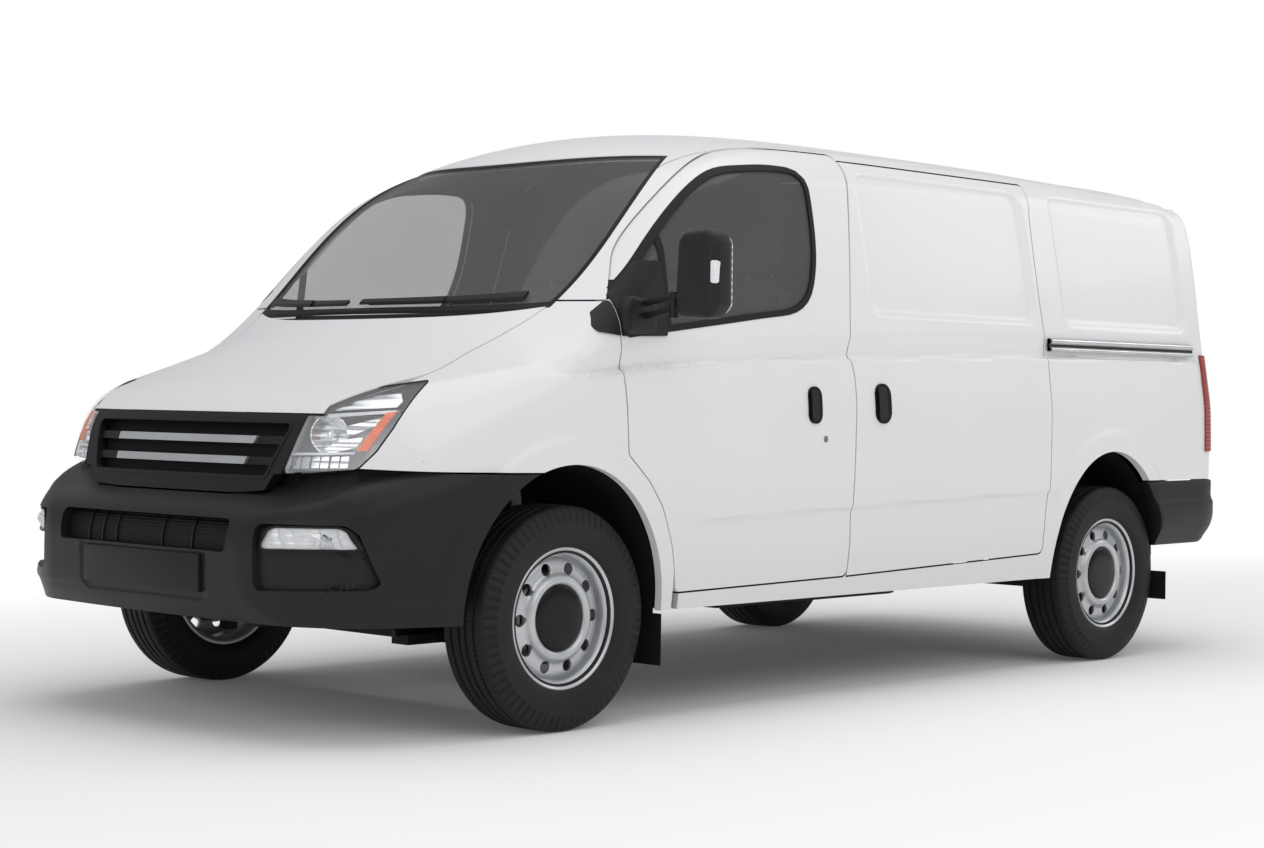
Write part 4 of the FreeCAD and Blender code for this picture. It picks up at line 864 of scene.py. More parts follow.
headlamp_outline = [(-905, 792, 20), (-835, 980, 60), (-798, 1020, 60), (-689, 1053, 200), (-492, 1083, 6),
                    (-515, 1037, 40), (-563, 937, 60), (-606, 869, 60), (-656, 819, 40), (-718, 800, 60)]
lamp_heading = np.array((0.82, 0.572, 0.0))
lamp_across = np.array((-0.572, 0.82, 0.0))
bumper_top = [(1200, 790), (760, 812), (716, 815), (480, 792), (452, 744), (300, 730)]


def bow(side_x, middle_x, half_y, flats=32):
    shares = [2.0 * i / flats - 1 for i in range(flats + 1)]
    return [(middle_x + (side_x - middle_x) * s * s, half_y * s) for s in shares]


def screen_area(margin, low=1000, high=2200):
    """The windscreen's prism, grown by a margin."""
    rear = bow(781 - margin, 984 - margin, 640 + margin * 0.6)
    front = bow(1432 + margin, 1602 + margin, 742 + margin)
    left = eased([(x, y + margin) for x, y in [(781, 640)] + screen_side + [(1432, 742)]])[2:-2]
    return prism(sharp(rear + left + front[::-1] + [(x, -y) for x, y in left[::-1]]), low, high, "Z")


def bonnet_area(margin):
    """The bonnet's prism, grown by a margin."""
    left = eased([(x, y + margin) for x, y in bonnet_side[1:-1]], 8)
    rear = bow(bonnet_side[0][0] - margin, 1662 - margin, bonnet_side[0][1] + margin)
    front = [(2420, -left[-1][1]), (2420, left[-1][1])]
    zone = prism(sharp(rear + left + front[::-1] + [(x, -y) for x, y in left[::-1]]), 900, 1500, "Z")
    return carve(zone, block(1900, 2600, -1200, 1200, 800, bonnet_edge - margin))


def lamp_area(margin, side=LEFT):
    """A headlamp's prism along its own heading."""
    flat = rounded(grown(headlamp_outline, margin))
    count = len(flat)
    points = []
    for run in (1700.0, 2500.0):
        for along, z in flat:
            point = lamp_heading * run + lamp_across * along
            points.append((point[0], side * point[1], z))
    faces = [list(range(count))[::-1], list(range(count, 2 * count))]
    faces += [[i, (i + 1) % count, count + (i + 1) % count, count + i] for i in range(count)]
    return turned_out(mesh_piece("lamp_area", points, faces))


def bumper_zone(margin):
    """The prism of the front bumper, up to its top line."""
    line = [(y, z + margin) for y, z in bumper_top]
    outline = [(1200, 200)] + line + [(-y, z) for y, z in line[::-1]] + [(-1200, 200)]
    return prism(sharp(outline), 1560, 2600, "X")


def arch_prism(which, extra, y0, y1):
    """The prism of a wheel arch."""
    a, b = arch_size[which]
    ring = [(arch_x[which] + (a + extra) * math.cos(t), 352 + (b + extra) * math.sin(t))
            for t in np.arange(96) * math.pi / 48 + math.pi / 96]
    return prism(sharp(ring), y0, y1, "Y")


def both_sides(cutter):
    """A cutter and its mirror image in one mesh."""
    twin = mirrored(cutter, "twin")
    return joined("both", [cutter, twin])


def tail_door_gap():
    """The space of the rear doors with the gap round them."""
    half = [(746, 593), (754, 726), (882, 726), (883, 900), (875, 1500), (806, 1900)]
    outline = [(-y, z) for y, z in half] + half[::-1]
    return prism([(y, z, 90 if z == 1900 else 0) for y, z in outline], -2600, -2230, "X")


def soften(piece, width=2.0, degrees=40):
    """Rounds the sharp edges a little."""
    return modify(piece, "BEVEL", width=width * MM, segments=2, limit_method="ANGLE",
                  angle_limit=math.radians(degrees), harden_normals=False)


def lined(piece, finish="cab_plastic"):
    """Gives the faces that look inwards the finish of the trim behind them."""
    piece.data.materials.append(finish_of(finish))
    for face in piece.data.polygons:
        middle = Vector((min(max(face.center.x, -2.0), 1.0), 0, 1.1))
        if (middle - face.center).normalized().dot(face.normal) > 0.35:
            face.material_index = 1
    return piece


def roof_middle():
    """The zone that the sides and the doors leave to the roof's panel."""
    return block(-2700, 1700, -roof_half - gap, roof_half + gap, 1700, 2300)


def largest_part(piece, kept=1):
    """Keeps the biggest loose part of a piece, or the biggest few."""
    mesh = bmesh.new()
    mesh.from_mesh(piece.data)
    left, parts = set(mesh.faces), []
    while left:
        seed = left.pop()
        found, edge = {seed}, [seed]
        while edge:
            for e in edge.pop().edges:
                for face in e.link_faces:
                    if face in left:
                        left.discard(face)
                        found.add(face)
                        edge.append(face)
        parts.append(found)
    parts.sort(key=len)
    for part in parts[:-kept]:
        bmesh.ops.delete(mesh, geom=list(part), context="FACES")
    mesh.to_mesh(piece.data)
    mesh.free()
    return piece


def build_body_sides():
    """The sides of the body, from the pillars to the rear corners."""
    for name, side in SIDES:
        cuts = [block(1060, 1700, -1200, 1200, 0, 1348), block(-2600, -2100, -1200, 1200, 0, 600),
                block(-2700, 1700, -1200, 1200, 0, 356), block(-2700, -1700, -1200, 1200, 0, 726),
                roof_middle(), screen_area(gap), tail_door_gap(), arch_prism("rear", 0, 500, 1200),
                prism(grown(door_outline, gap), 300, 1200)]
        if side == LEFT:
            cuts.append(prism(grown(sliding_outline, gap), 300, 1200))
        piece = body.slab((-2400, 560, 340), (1600, 1020, 2030), 24, name="side")
        for cutter in cuts:
            carve(piece, cutter)
        largest_part(piece, 2)
        if side == RIGHT:
            moved(piece, Matrix.Diagonal((1, -1, 1, 1)))
        piece.name = piece.data.name = "body_side_panel_" + name
        body.shade(piece)
        settle(piece, "body", ["body_side_" + name], "body_paint")
        lined(piece)


def build_roof():
    """The roof between the gutters."""
    piece = body.slab((-2400, -720, 1780), (1000, 720, 2040), 20, name="roof")
    carve(piece, block(-2600, 984, -roof_half, roof_half, 1790, 2200), "INTERSECT")
    carve(piece, screen_area(gap))
    carve(piece, tail_door_gap())
    largest_part(piece)
    piece.name = piece.data.name = "roof_skin"
    body.shade(piece)
    settle(piece, "body", ["roof_panel"], "body_paint")
    lined(piece)


def build_front_doors():
    """The front doors, their frames and their glass."""
    for name, side in SIDES:
        piece = body.slab((40, 560, 400), (1350, 1020, 1930), 24, name="door")
        carve(piece, prism(door_outline, 300, 1200), "INTERSECT")
        carve(piece, roof_middle())
        carve(piece, prism(window_outline, 300, 1200))
        glass = body.slab((270, 600, 1220), (1320, 1010, 1860), 5, 5, name="glass")
        carve(glass, prism(grown(window_outline, -1), 300, 1200), "INTERSECT")
        seal = body.slab((270, 600, 1220), (1330, 1010, 1870), 16, -1.5, name="seal")
        carve(seal, prism(grown(window_outline, 6), 300, 1200), "INTERSECT")
        carve(seal, prism(grown(window_outline, -15), 300, 1200))
        divider = body.slab((1070, 600, 1220), (1120, 1010, 1700), 12, 1.0, name="divider")
        carve(divider, prism([(1092, 1200, 0), (1116, 1200, 0), (1116, 1700, 0), (1092, 1700, 0)], 300, 1200),
              "INTERSECT")
        carve(divider, prism(grown(window_outline, -10), 300, 1200), "INTERSECT")
        parts = [piece, glass, seal, divider]
        if side == RIGHT:
            parts = [moved(p, Matrix.Diagonal((1, -1, 1, 1))) for p in parts]
        for part, level in zip(parts, (0, 5, -1.5, 1)):
            body.shade(part, level)
        piece.name = "front_door_skin_" + name
        glass.name = "door_pane_" + name
        seal.name = "window_seal_" + name
        divider.name = "window_post_" + name
        on = "door_front_" + name
        settle(piece, on, ["front_door_" + name], "body_paint")
        lined(piece)
        settle(glass, on, ["door_glass_" + name], "window_glass")
        settle(seal, on, finish="rubber_seal")
        settle(divider, on, finish="rubber_seal")


def build_sliding_door():
    """The sliding door."""
    piece = body.slab((-1200, 560, 440), (200, 1020, 1930), 24, name="slider")
    carve(piece, prism(sliding_outline, 300, 1200), "INTERSECT")
    carve(piece, roof_middle())
    piece.name = piece.data.name = "sliding_door_skin"
    body.shade(largest_part(piece))
    settle(piece, "body", ["sliding_door"], "body_paint")
    lined(piece)


def build_rear_doors():
    """The two rear doors."""
    for name, side in SIDES:
        piece = body.slab((-2400, -20, 590), (-2250, 900, 1910), 24, name="tail")
        carve(piece, prism(rear_door_outline, -2600, -2230, "X"), "INTERSECT")
        largest_part(piece)
        if side == RIGHT:
            moved(piece, Matrix.Diagonal((1, -1, 1, 1)))
        piece.name = piece.data.name = "rear_door_skin_" + name
        body.shade(piece)
        settle(piece, "door_rear_" + name, ["rear_door_" + name], "body_paint")
        lined(piece)


def build_nose():
    """Wings, bonnet, scuttle and windscreen."""
    wing = body.slab((1080, 380, 340), (2400, 1020, 1360), 20, name="wing")
    line = eased([(x, y + gap) for x, y in bonnet_side[:4]], 8)
    zone = [(1098, 1200), (1098, 748)] + line + [(2600, line[-1][1]), (2600, 1200)]
    carve(wing, prism(sharp(zone), 356, 1342, "Z"), "INTERSECT")
    for cutter in (prism(grown(door_outline, gap), 300, 1200), arch_prism("front", 0, 500, 1200),
                   bonnet_area(gap), lamp_area(3), screen_area(gap), bumper_zone(gap)):
        carve(wing, cutter)
    largest_part(wing)
    twin = mirrored(wing, "wing_skin_right")
    wing.name = "wing_skin_left"
    for piece in (wing, twin):
        body.shade(piece)
    settle(wing, "body", ["wings"], "body_paint")
    settle(twin, "body", ["wings"], "body_paint")

    bonnet = body.slab((1400, -760, 930), (2330, 760, 1360), 18, name="bonnet_skin")
    carve(bonnet, bonnet_area(0), "INTERSECT")
    largest_part(bonnet)
    body.shade(bonnet)
    settle(bonnet, "bonnet_lid", ["bonnet"], "body_paint")

    scuttle = body.slab((1400, -760, 1180), (1780, 760, 1420), 24, 16, True, name="scuttle_cover")
    carve(scuttle, screen_area(125), "INTERSECT")
    carve(scuttle, screen_area(3))
    carve(scuttle, bonnet_area(gap))
    carve(scuttle, block(1430, 1760, -720, 720, 1200, 1420), "INTERSECT")
    body.shade(largest_part(scuttle), 16, plain=True)
    settle(scuttle, "body", ["scuttle"], "trim_black")

    pane = body.slab((760, -770, 1280), (1640, 770, 1900), 5, 4, True, name="windscreen_pane")
    carve(pane, screen_area(0), "INTERSECT")
    carve(pane, block(0, 2000, -900, 900, 1200, 1900), "INTERSECT")
    body.shade(largest_part(pane), 4, plain=True)
    settle(pane, "body", ["windscreen"], "screen_glass")
    border = body.slab((760, -770, 1280), (1640, 770, 1900), 9, 2.0, True, name="windscreen_seal")
    carve(border, screen_area(4), "INTERSECT")
    carve(border, screen_area(-13))
    carve(border, block(0, 2000, -900, 900, 1200, 1905), "INTERSECT")
    body.shade(border, 2.0, plain=True)
    settle(border, "body", finish="rubber_seal")


# Stage
def build_stage():
    """Floor, lamps, white surroundings and the camera."""
    scene = bpy.context.scene
    scene.view_settings.view_transform = "Standard"
    world = scene.world or bpy.data.worlds.new("surroundings")
    scene.world = world
    world.use_nodes = True
    tree = world.node_tree
    tree.nodes.clear()
    output = tree.nodes.new("ShaderNodeOutputWorld")
    paths = tree.nodes.new("ShaderNodeLightPath")
    seen = tree.nodes.new("ShaderNodeMath")
    seen.operation = "MAXIMUM"
    tree.links.new(paths.outputs["Is Camera Ray"], seen.inputs[0])
    tree.links.new(paths.outputs["Is Transmission Ray"], seen.inputs[1])
    white, soft, mix = (tree.nodes.new(kind) for kind in
                        ("ShaderNodeBackground", "ShaderNodeBackground", "ShaderNodeMixShader"))
    white.inputs["Color"].default_value = (1, 1, 1, 1)
    soft.inputs["Color"].default_value = (0.94, 0.96, 1.0, 1)
    soft.inputs["Strength"].default_value = 0.46
    tree.links.new(seen.outputs[0], mix.inputs[0])
    tree.links.new(soft.outputs[0], mix.inputs[1])
    tree.links.new(white.outputs[0], mix.inputs[2])
    tree.links.new(mix.outputs[0], output.inputs["Surface"])

    deselect()
    bpy.ops.mesh.primitive_plane_add(size=120, location=(0, 0, 0))
    floor = bpy.context.object
    floor.name = "studio_floor"
    f = Finish("studio_floor")
    cloud = f.noise(f.place(), 0.35, 2.0)
    shader = f.node("ShaderNodeBsdfDiffuse", None,
                    {"Color": f.mixed(cloud, (0.93, 0.93, 0.93, 1), (0.95, 0.95, 0.95, 1))})
    # Painted light: the floor's white glow grows with distance from the van and fades out round it, which
    # leaves a painted darker zone near the van on top of the lamps' real shadow.
    glow = f.node("ShaderNodeEmission", None, {"Color": (1, 1, 1, 1), "Strength": 1.0})
    apart = f.node("ShaderNodeVectorMath", {"operation": "LENGTH"},
                   {0: f.place((0.45, 1.0, 1.0))}, output="Value")
    far = f.ramp(apart * 0.1, 0.12, 0.42, (0.05, 0.05, 0.05, 1), (1, 1, 1, 1))
    f.tree.links.new(f.node("ShaderNodeMixShader", None, {0: far, 1: shader, 2: glow}).value,
                     f.output.inputs["Surface"])
    paint_all(floor, f.material)

    for name, place, target, size, power in (
            ("key", (1.5, 8.5, 6.5), (0.0, 0, 0.9), (10.0, 5.0), 185.0),
            ("front", (9.5, 1.5, 4.5), (1.5, 0, 0.9), (6.0, 4.5), 105.0),
            ("top", (0.0, 0.5, 7.5), (0.0, 0, 0.0), (10.0, 7.0), 225.0),
            ("back", (-7.5, 3.5, 4.5), (-1.0, 0, 0.8), (4.0, 3.0), 70.0)):
        lamp = bpy.data.lights.new(name, "AREA")
        lamp.shape, lamp.size, lamp.size_y, lamp.energy = "RECTANGLE", size[0], size[1], power
        holder = bpy.data.objects.new(name, lamp)
        scene.collection.objects.link(holder)
        heading = Vector(target) - Vector(place)
        turn = heading.to_track_quat("-Z", "Y").to_matrix().to_4x4()
        holder.matrix_world = Matrix.Translation(place) @ turn

    lens = bpy.data.cameras.new("camera")
    yaw, pitch, roll = -2.38304593, -0.0113532427, 0.0132854046
    ahead = Vector((math.cos(yaw) * math.cos(pitch), math.sin(yaw) * math.cos(pitch), math.sin(pitch)))
    right = ahead.cross(Vector((0, 0, 1))).normalized()
    up = right.cross(ahead)
    across = right * math.cos(roll) + up * math.sin(roll)
    upright = up * math.cos(roll) - right * math.sin(roll)
    lens.sensor_width = 36.0
    lens.lens = 2329.96522 / 1264 * 36.0
    lens.clip_end = 300.0
    camera = bpy.data.objects.new("camera", lens)
    scene.collection.objects.link(camera)
    camera.matrix_world = Matrix.Translation((6.63797725, 6.04388222, 1.03863572)) @ Matrix(
        (across, upright, -ahead)).transposed().to_4x4()
    scene.camera = camera


# Wheels
def spun(name, profile, steps=96, closed=True):
    """A body of revolution about Y from corners (radius, y)."""
    deselect()
    points = [(r * MM, y * MM, 0.0) for r, y in profile]
    edges = [(i, i + 1) for i in range(len(points) - 1)] + ([(len(points) - 1, 0)] if closed else [])
    mesh = bpy.data.meshes.new(name)
    mesh.from_pydata(points, edges, [])
    piece = bpy.data.objects.new(name, mesh)
    bpy.context.scene.collection.objects.link(piece)
    activate(piece)
    bpy.ops.object.mode_set(mode="EDIT")
    bpy.ops.mesh.select_all(action="SELECT")
    bpy.ops.mesh.spin(steps=steps, angle=2 * math.pi, center=(0, 0, 0), axis=(0, 1, 0))
    bpy.ops.mesh.select_all(action="SELECT")
    bpy.ops.mesh.remove_doubles(threshold=0.00002)
    bpy.ops.mesh.normals_make_consistent(inside=False)
    bpy.ops.object.mode_set(mode="OBJECT")
    return piece


def unroll(piece, profile):
    """Writes the UV map: the turn round the axle, and the way over the section from the bead."""
    runs = np.concatenate([[0], np.cumsum(np.hypot(*np.diff(np.array(profile, float), axis=0).T))])
    half = {(round(r, 1), round(abs(y), 1)): run
            for (r, y), run in list(zip(profile, runs))[:len(profile) // 2 + 1]}
    mesh = piece.data
    layer = mesh.uv_layers.new(name="unrolled")
    for face in mesh.polygons:
        turns = []
        for index in face.vertices:
            x, y, z = mesh.vertices[index].co / MM
            turns.append((math.atan2(z, x) / (2 * math.pi),
                          half.get((round(math.hypot(x, z), 1), round(abs(y), 1)), 0)))
        wrap = max(t[0] for t in turns) - min(t[0] for t in turns) > 0.5
        for loop, (turn, run) in zip(face.loop_indices, turns):
            layer.data[loop].uv = (turn + 1 if wrap and turn < 0 else turn, run * MM)


def build_wheels():
    """Tyres, steel wheels and caps at the four corners."""
    half = [(203, 79), (212, 81), (221, 84), (226, 90), (236, 96), (252, 101), (270, 102.4), (288, 102.4),
            (296, 101.6), (298, 102.4), (303, 102.2), (305, 100.4), (318, 97), (330, 93), (340, 89.5),
            (346.5, 85), (350, 78), (351.2, 66), (351.4, 55), (344.5, 53), (344.5, 46), (351.7, 44),
            (351.9, 26), (351.9, 20), (344.5, 18), (344.5, 11), (352, 9)]
    profile = half + [(r, -y) for r, y in half[::-1]]
    sizes = bpy.context.scene.van_sizes
    tyre = spun("tyre", profile, sizes.tread_steps)
    unroll(tyre, profile)
    smooth(tyre, 50)
    face = [(0, 50), (104, 50), (104, 60), (107, 66.5), (114, 71.5), (122, 73), (130, 69.5), (136, 61),
            (141, 53.5), (147, 50.8), (160, 50.4), (174, 49), (182, 45.5), (187, 40), (190, 33),
            (192.5, 33), (194.5, 40), (195, 50), (193.5, 58), (195.5, 65), (201, 69.5), (206, 74),
            (210, 80), (215, 84.6), (219, 86), (221.5, 84.5), (221.5, 81), (212, 79), (204.5, 78),
            (203, 70), (203, -70), (204.5, -78), (212, -79), (221, -81), (221, -85), (215, -86), (205, -82),
            (196, -70), (195, 24), (186, 34), (176, 41), (0, 42)]
    rim = spun("rim", face, 96, False)
    drills = []
    for i in range(sizes.vents):
        angle = 2 * math.pi * i / sizes.vents
        ring = [(158 * math.cos(angle) + 19.5 * math.cos(t), 158 * math.sin(angle) + 19.5 * math.sin(t))
                for t in np.arange(28) * math.pi / 14]
        drills.append(prism(sharp(ring), 20, 100, "Y"))
    carve(rim, joined("drills", drills))
    smooth(modify(rim, "BEVEL", width=0.0022, segments=2, limit_method="ANGLE",
                  angle_limit=math.radians(62)), 40)
    cap = spun("cap", [(0, 67.5), (40, 67.3), (70, 66.4), (92, 64.6), (100, 62.5), (103.4, 59), (103.8, 50),
                       (0, 50)],
               72, False)
    smooth(cap, 50)
    drum = spun("drum", [(0, 36), (70, 36), (74, 32), (140, 30), (146, 24), (146, -10), (0, -10)], 48, False)
    smooth(drum, 30)
    for name, x, side in (("front_left", 1550, LEFT), ("front_right", 1550, RIGHT),
                          ("rear_left", -1550, LEFT), ("rear_right", -1550, RIGHT)):
        place = Matrix.Translation((x * MM, side * 0.86, 0.352)) @ Matrix.Diagonal((1, side, 1, 1))
        on = "wheel_" + name
        for source, label, slot, nodes, finish in (
                (tyre, "tyre_rubber_", "tyre", ["tyre_" + name], "tyre"),
                (rim, "steel_wheel_", "wheel_paint", ["rim_" + name], "wheel_paint"),
                (cap, "hub_cap_", "wheel_paint", [], "gloss_black"),
                (drum, "brake_drum_", "bare_steel", [], "bare_steel")):
            piece = moved(copied(source, label + name), place)
            settle(piece, on, nodes, finish)
    for source in (tyre, rim, cap, drum):
        bpy.data.objects.remove(source)


# Lamps and grille
def lamp_prism(outline, name="lamp_prism"):
    """A prism along the headlamp's heading from corners (across, z, radius)."""
    flat = rounded(outline)
    count = len(flat)
    points = []
    for run in (1700.0, 2500.0):
        for along, z in flat:
            point = lamp_heading * run + lamp_across * along
            points.append((point[0], point[1], z))
    faces = [list(range(count))[::-1], list(range(count, 2 * count))]
    faces += [[i, (i + 1) % count, count + (i + 1) % count, count + i] for i in range(count)]
    return turned_out(mesh_piece(name, points, faces))


def lamp_piece(name, outline, level, thickness, hollow=None):
    """A sheet of the skin inside an outline of the left headlamp."""
    piece = body.slab((1820, 400, 770), (2350, 880, 1100), thickness, level, True, name=name)
    carve(piece, lamp_prism(outline), "INTERSECT")
    if hollow:
        carve(piece, lamp_prism(hollow))
    carve(piece, bonnet_area(7))
    carve(piece, bumper_zone(3))
    body.shade(piece, level, plain=True)
    return piece


def lamp_spot(across, z, level):
    """The point of the left headlamp's form at a level under the skin."""
    low, high = 1500.0, 2500.0
    for _ in range(30):
        run = (low + high) / 2
        point = lamp_heading * run + lamp_across * across
        deep = body.depth(np.array([[point[0], point[1], z]]))[0]
        low, high = (run, high) if deep > level else (low, run)
    return point[0], point[1], z


def dish(name, across, z, radius, depth, level):
    """A round reflector with its bulb, looking along the lamp's heading."""
    bowl = [(0, -depth), (radius * 0.35, -depth * 0.86), (radius * 0.65, -depth * 0.55),
            (radius * 0.88, -depth * 0.2), (radius, 0), (radius + 3, 0), (radius + 3, -4),
            (radius * 0.9, -depth * 0.3), (radius * 0.66, -depth * 0.68), (radius * 0.35, -depth),
            (0, -depth - 5)]
    bulb = [(0, -depth + 2), (7, -depth + 2), (7, -depth + 16), (9, -depth + 22), (8, -depth + 30),
            (0, -depth + 34)]
    pieces = [smooth(spun(name, bowl, 48, False), 50), smooth(spun("bulb", bulb, 24, False), 50)]
    heading = Vector((lamp_heading[0], lamp_heading[1], 0.04)).normalized()
    turn = Vector((0, 1, 0)).rotation_difference(heading).to_matrix().to_4x4()
    spot = Vector(lamp_spot(across, z, level)) * MM
    piece = joined(name, pieces)
    return moved(piece, Matrix.Translation(spot) @ turn)


def build_headlamps():
    """The headlamps: clear lens, bright bowl, reflectors, the amber strip and the lower row."""
    parts = [(lamp_piece("headlamp_lens", headlamp_outline, 0, 3.5), "lamp_lens", ["headlamps"]),
             (lamp_piece("headlamp_bowl", grown(headlamp_outline, -1), 92, 4), "lamp_shell", []),
             (lamp_piece("headlamp_wall", grown(headlamp_outline, -0.5), 4, 90, grown(headlamp_outline, -4)),
              "lamp_shell", []),
             (lamp_piece("headlamp_ledge", [(-812, 962, 0), (-568, 983, 0), (-560, 992, 0), (-806, 975, 0)],
                         9, 46),
              "lamp_shell", []),
             (lamp_piece("headlamp_amber", [(-590, 984, 2), (-560, 988, 2), (-634, 870, 2), (-668, 870, 2)],
                         6, 12),
              "amber_lens", []),
             (lamp_piece("headlamp_indicator", [(-806, 984, 4), (-566, 1000, 4), (-552, 1018, 8),
                                                (-566, 1042, 10), (-752, 1022, 14)], 14, 8), "reflector", []),
             (lamp_piece("headlamp_fin", [(-700, 910, 0), (-597, 953, 0), (-606, 969, 0), (-709, 942, 0)],
                         16, 8),
              "reflector", []),
             (lamp_piece("headlamp_gill", [(-777, 871, 4), (-750, 861, 4), (-673, 879, 4), (-651, 910, 4),
                                           (-723, 902, 4)], 22, 8), "reflector", []),
             (lamp_piece("headlamp_seal", grown(headlamp_outline, 2.8), -0.6, 8,
                         grown(headlamp_outline, -2.2)),
              "rubber_seal", [])]
    row = []
    for i in range(7):
        left = -904 + 31 * i
        row.append(lamp_piece("facet", [(left, 812 + i, 3), (left + 26, 813 + i, 3), (left + 29, 848 + i, 3),
                                        (left + 4, 846 + i, 3)], 12 + 5 * (i % 2), 14))
    parts.append((joined("headlamp_row", row), "reflector", []))
    parts.append((lamp_piece("headlamp_shelf", [(-905, 852, 0), (-676, 860, 0), (-672, 866, 0),
                                                (-903, 860, 0)], 9, 46),
                  "lamp_shell", []))
    parts.append((dish("headlamp_main", -768, 916, 56, 40, 50), "reflector", []))
    edge = body.slab((1820, 400, 770), (2350, 880, 1100), 10, 3, True, name="headlamp_edge")
    carve(edge, lamp_prism(grown(headlamp_outline, 3)), "INTERSECT")
    carve(edge, bonnet_area(8), "INTERSECT")
    carve(edge, bonnet_area(1))
    parts.append((body.shade(edge, 3, plain=True), "rubber_seal", []))
    for piece, finish, nodes in parts:
        twin = mirrored(piece, piece.name + "_right")
        piece.name += "_left"
        for one in (piece, twin):
            settle(one, "body", nodes, finish)


def build_grille():
    """The grille: frame, slats, two bright bars and the screen behind."""
    outline = [(566, 1000, 0), (508, 778, 14), (462, 744, 14), (300, 736, 60), (-300, 736, 60),
               (-462, 744, 14), (-508, 778, 14), (-566, 1000, 0)]
    opening = [(500, 946, 14), (440, 790, 14), (-440, 790, 14), (-500, 946, 14)]
    low, high = (2050, -600, 720), (2370, 600, 1010)

    def sheet(name, shape, level, thickness, hollow=None, around=True):
        piece = body.slab(low, high, thickness, level, True, name=name)
        carve(piece, prism(shape, 2000, 2600, "X"), "INTERSECT")
        if hollow:
            carve(piece, prism(hollow, 2000, 2600, "X"))
        if around:
            for cutter in (bonnet_area(3), bumper_zone(3), lamp_area(3), lamp_area(3, RIGHT)):
                carve(piece, cutter)
        body.shade(piece, level, plain=True)
        return piece

    frame_piece = sheet("grille_frame", outline, 0, 30, opening)
    lip = sheet("grille_lip", grown(opening, 12), -2, 10, grown(opening, 2))
    settle(joined("grille_frame", [frame_piece, lip]), "body", ["grille"], "trim_black")
    slats = []
    for base, half in ((884, 482), (821, 462)):
        slats.append(sheet("slat", [(half, base + 24, 4), (half, base, 4), (-half, base, 4),
                                    (-half, base + 24, 4)], 10, 24, None, False))
    settle(joined("grille_slats", slats), "body", (), "trim_black")
    bars = []
    for base, half in ((885, 357), (822, 338)):
        bars.append(sheet("bar", [(half + 4, base + 23, 3), (half - 4, base, 3), (-half, base, 3),
                                  (-half, base + 23, 3)], 1, 14, None, False))
    settle(joined("grille_bars", bars), "body", (), "silver_trim")
    settle(sheet("grille_screen", grown(outline, -4), 33, 4, None, True), "body", (),
           "screen")
    backing = body.slab((2050, -560, 640), (2390, 560, 830), 6, 62, True, name="nose_backing")
    carve(backing, block(2000, 2600, -520, 520, 650, 800), "INTERSECT")
    settle(backing, "body", (), "liner_plastic")


# Bumpers
bumper_profile = [(1600, 1010), (1900, 918), (2150, 830), (2250, 790), (2330, 745), (2400, 712), (2450, 670),
                  (2473, 600), (2475, 520), (2471, 440), (2450, 385), (2415, 348), (2380, 300)]
intake_outline = [(-434, 565, 20), (434, 565, 20), (440, 664, 20), (-440, 664, 20)]
fog_recess = [(553, 458, 26), (842, 466, 22), (852, 486, 10), (822, 628, 20), (796, 654, 30), (548, 656, 28)]


def bumper_half_width(x, z):
    return body_half_width(x, 700.0 + 0 * z) + np.interp(x, [1700, 2100, 2475], [4, 26, 48])


def bumper_form(p):
    """The bumper's arch flare and the crease over its lower lip."""
    x, y, z = p[:, 0], np.abs(p[:, 1]), p[:, 2]
    ring = arch_distance(x, z, "front")
    flank = step(560, 640, y)
    depth = -6.0 * flank * step(100, 70, ring) * step(-60, -20, ring)
    depth = depth + 6.0 * step(432, 412, z) * step(1850, 2150, x)
    plate = box_distance(p[:, 1], z, (14.5, 496), (316, 72), 20.0)
    depth = depth + 9.0 * step(14, 0, plate) * step(2380, 2430, x)
    return depth


bumper = Skin(bumper_profile, bumper_half_width, lambda x, z: 50.0 + 0 * x,
              lambda x, z: np.interp(x, [2300, 2475], [90, 218]), bumper_form)


def bumper_sheet(name, low, high, level, thickness, keep, cutters=(), direction="X", plain=True):
    """A sheet of the bumper's skin inside an outline."""
    piece = bumper.slab(low, high, thickness, level, plain, name=name)
    carve(piece, prism(keep, 1500, 2700, direction), "INTERSECT")
    for cutter in cutters:
        carve(piece, cutter)
    bumper.shade(piece, level, plain=plain)
    return piece


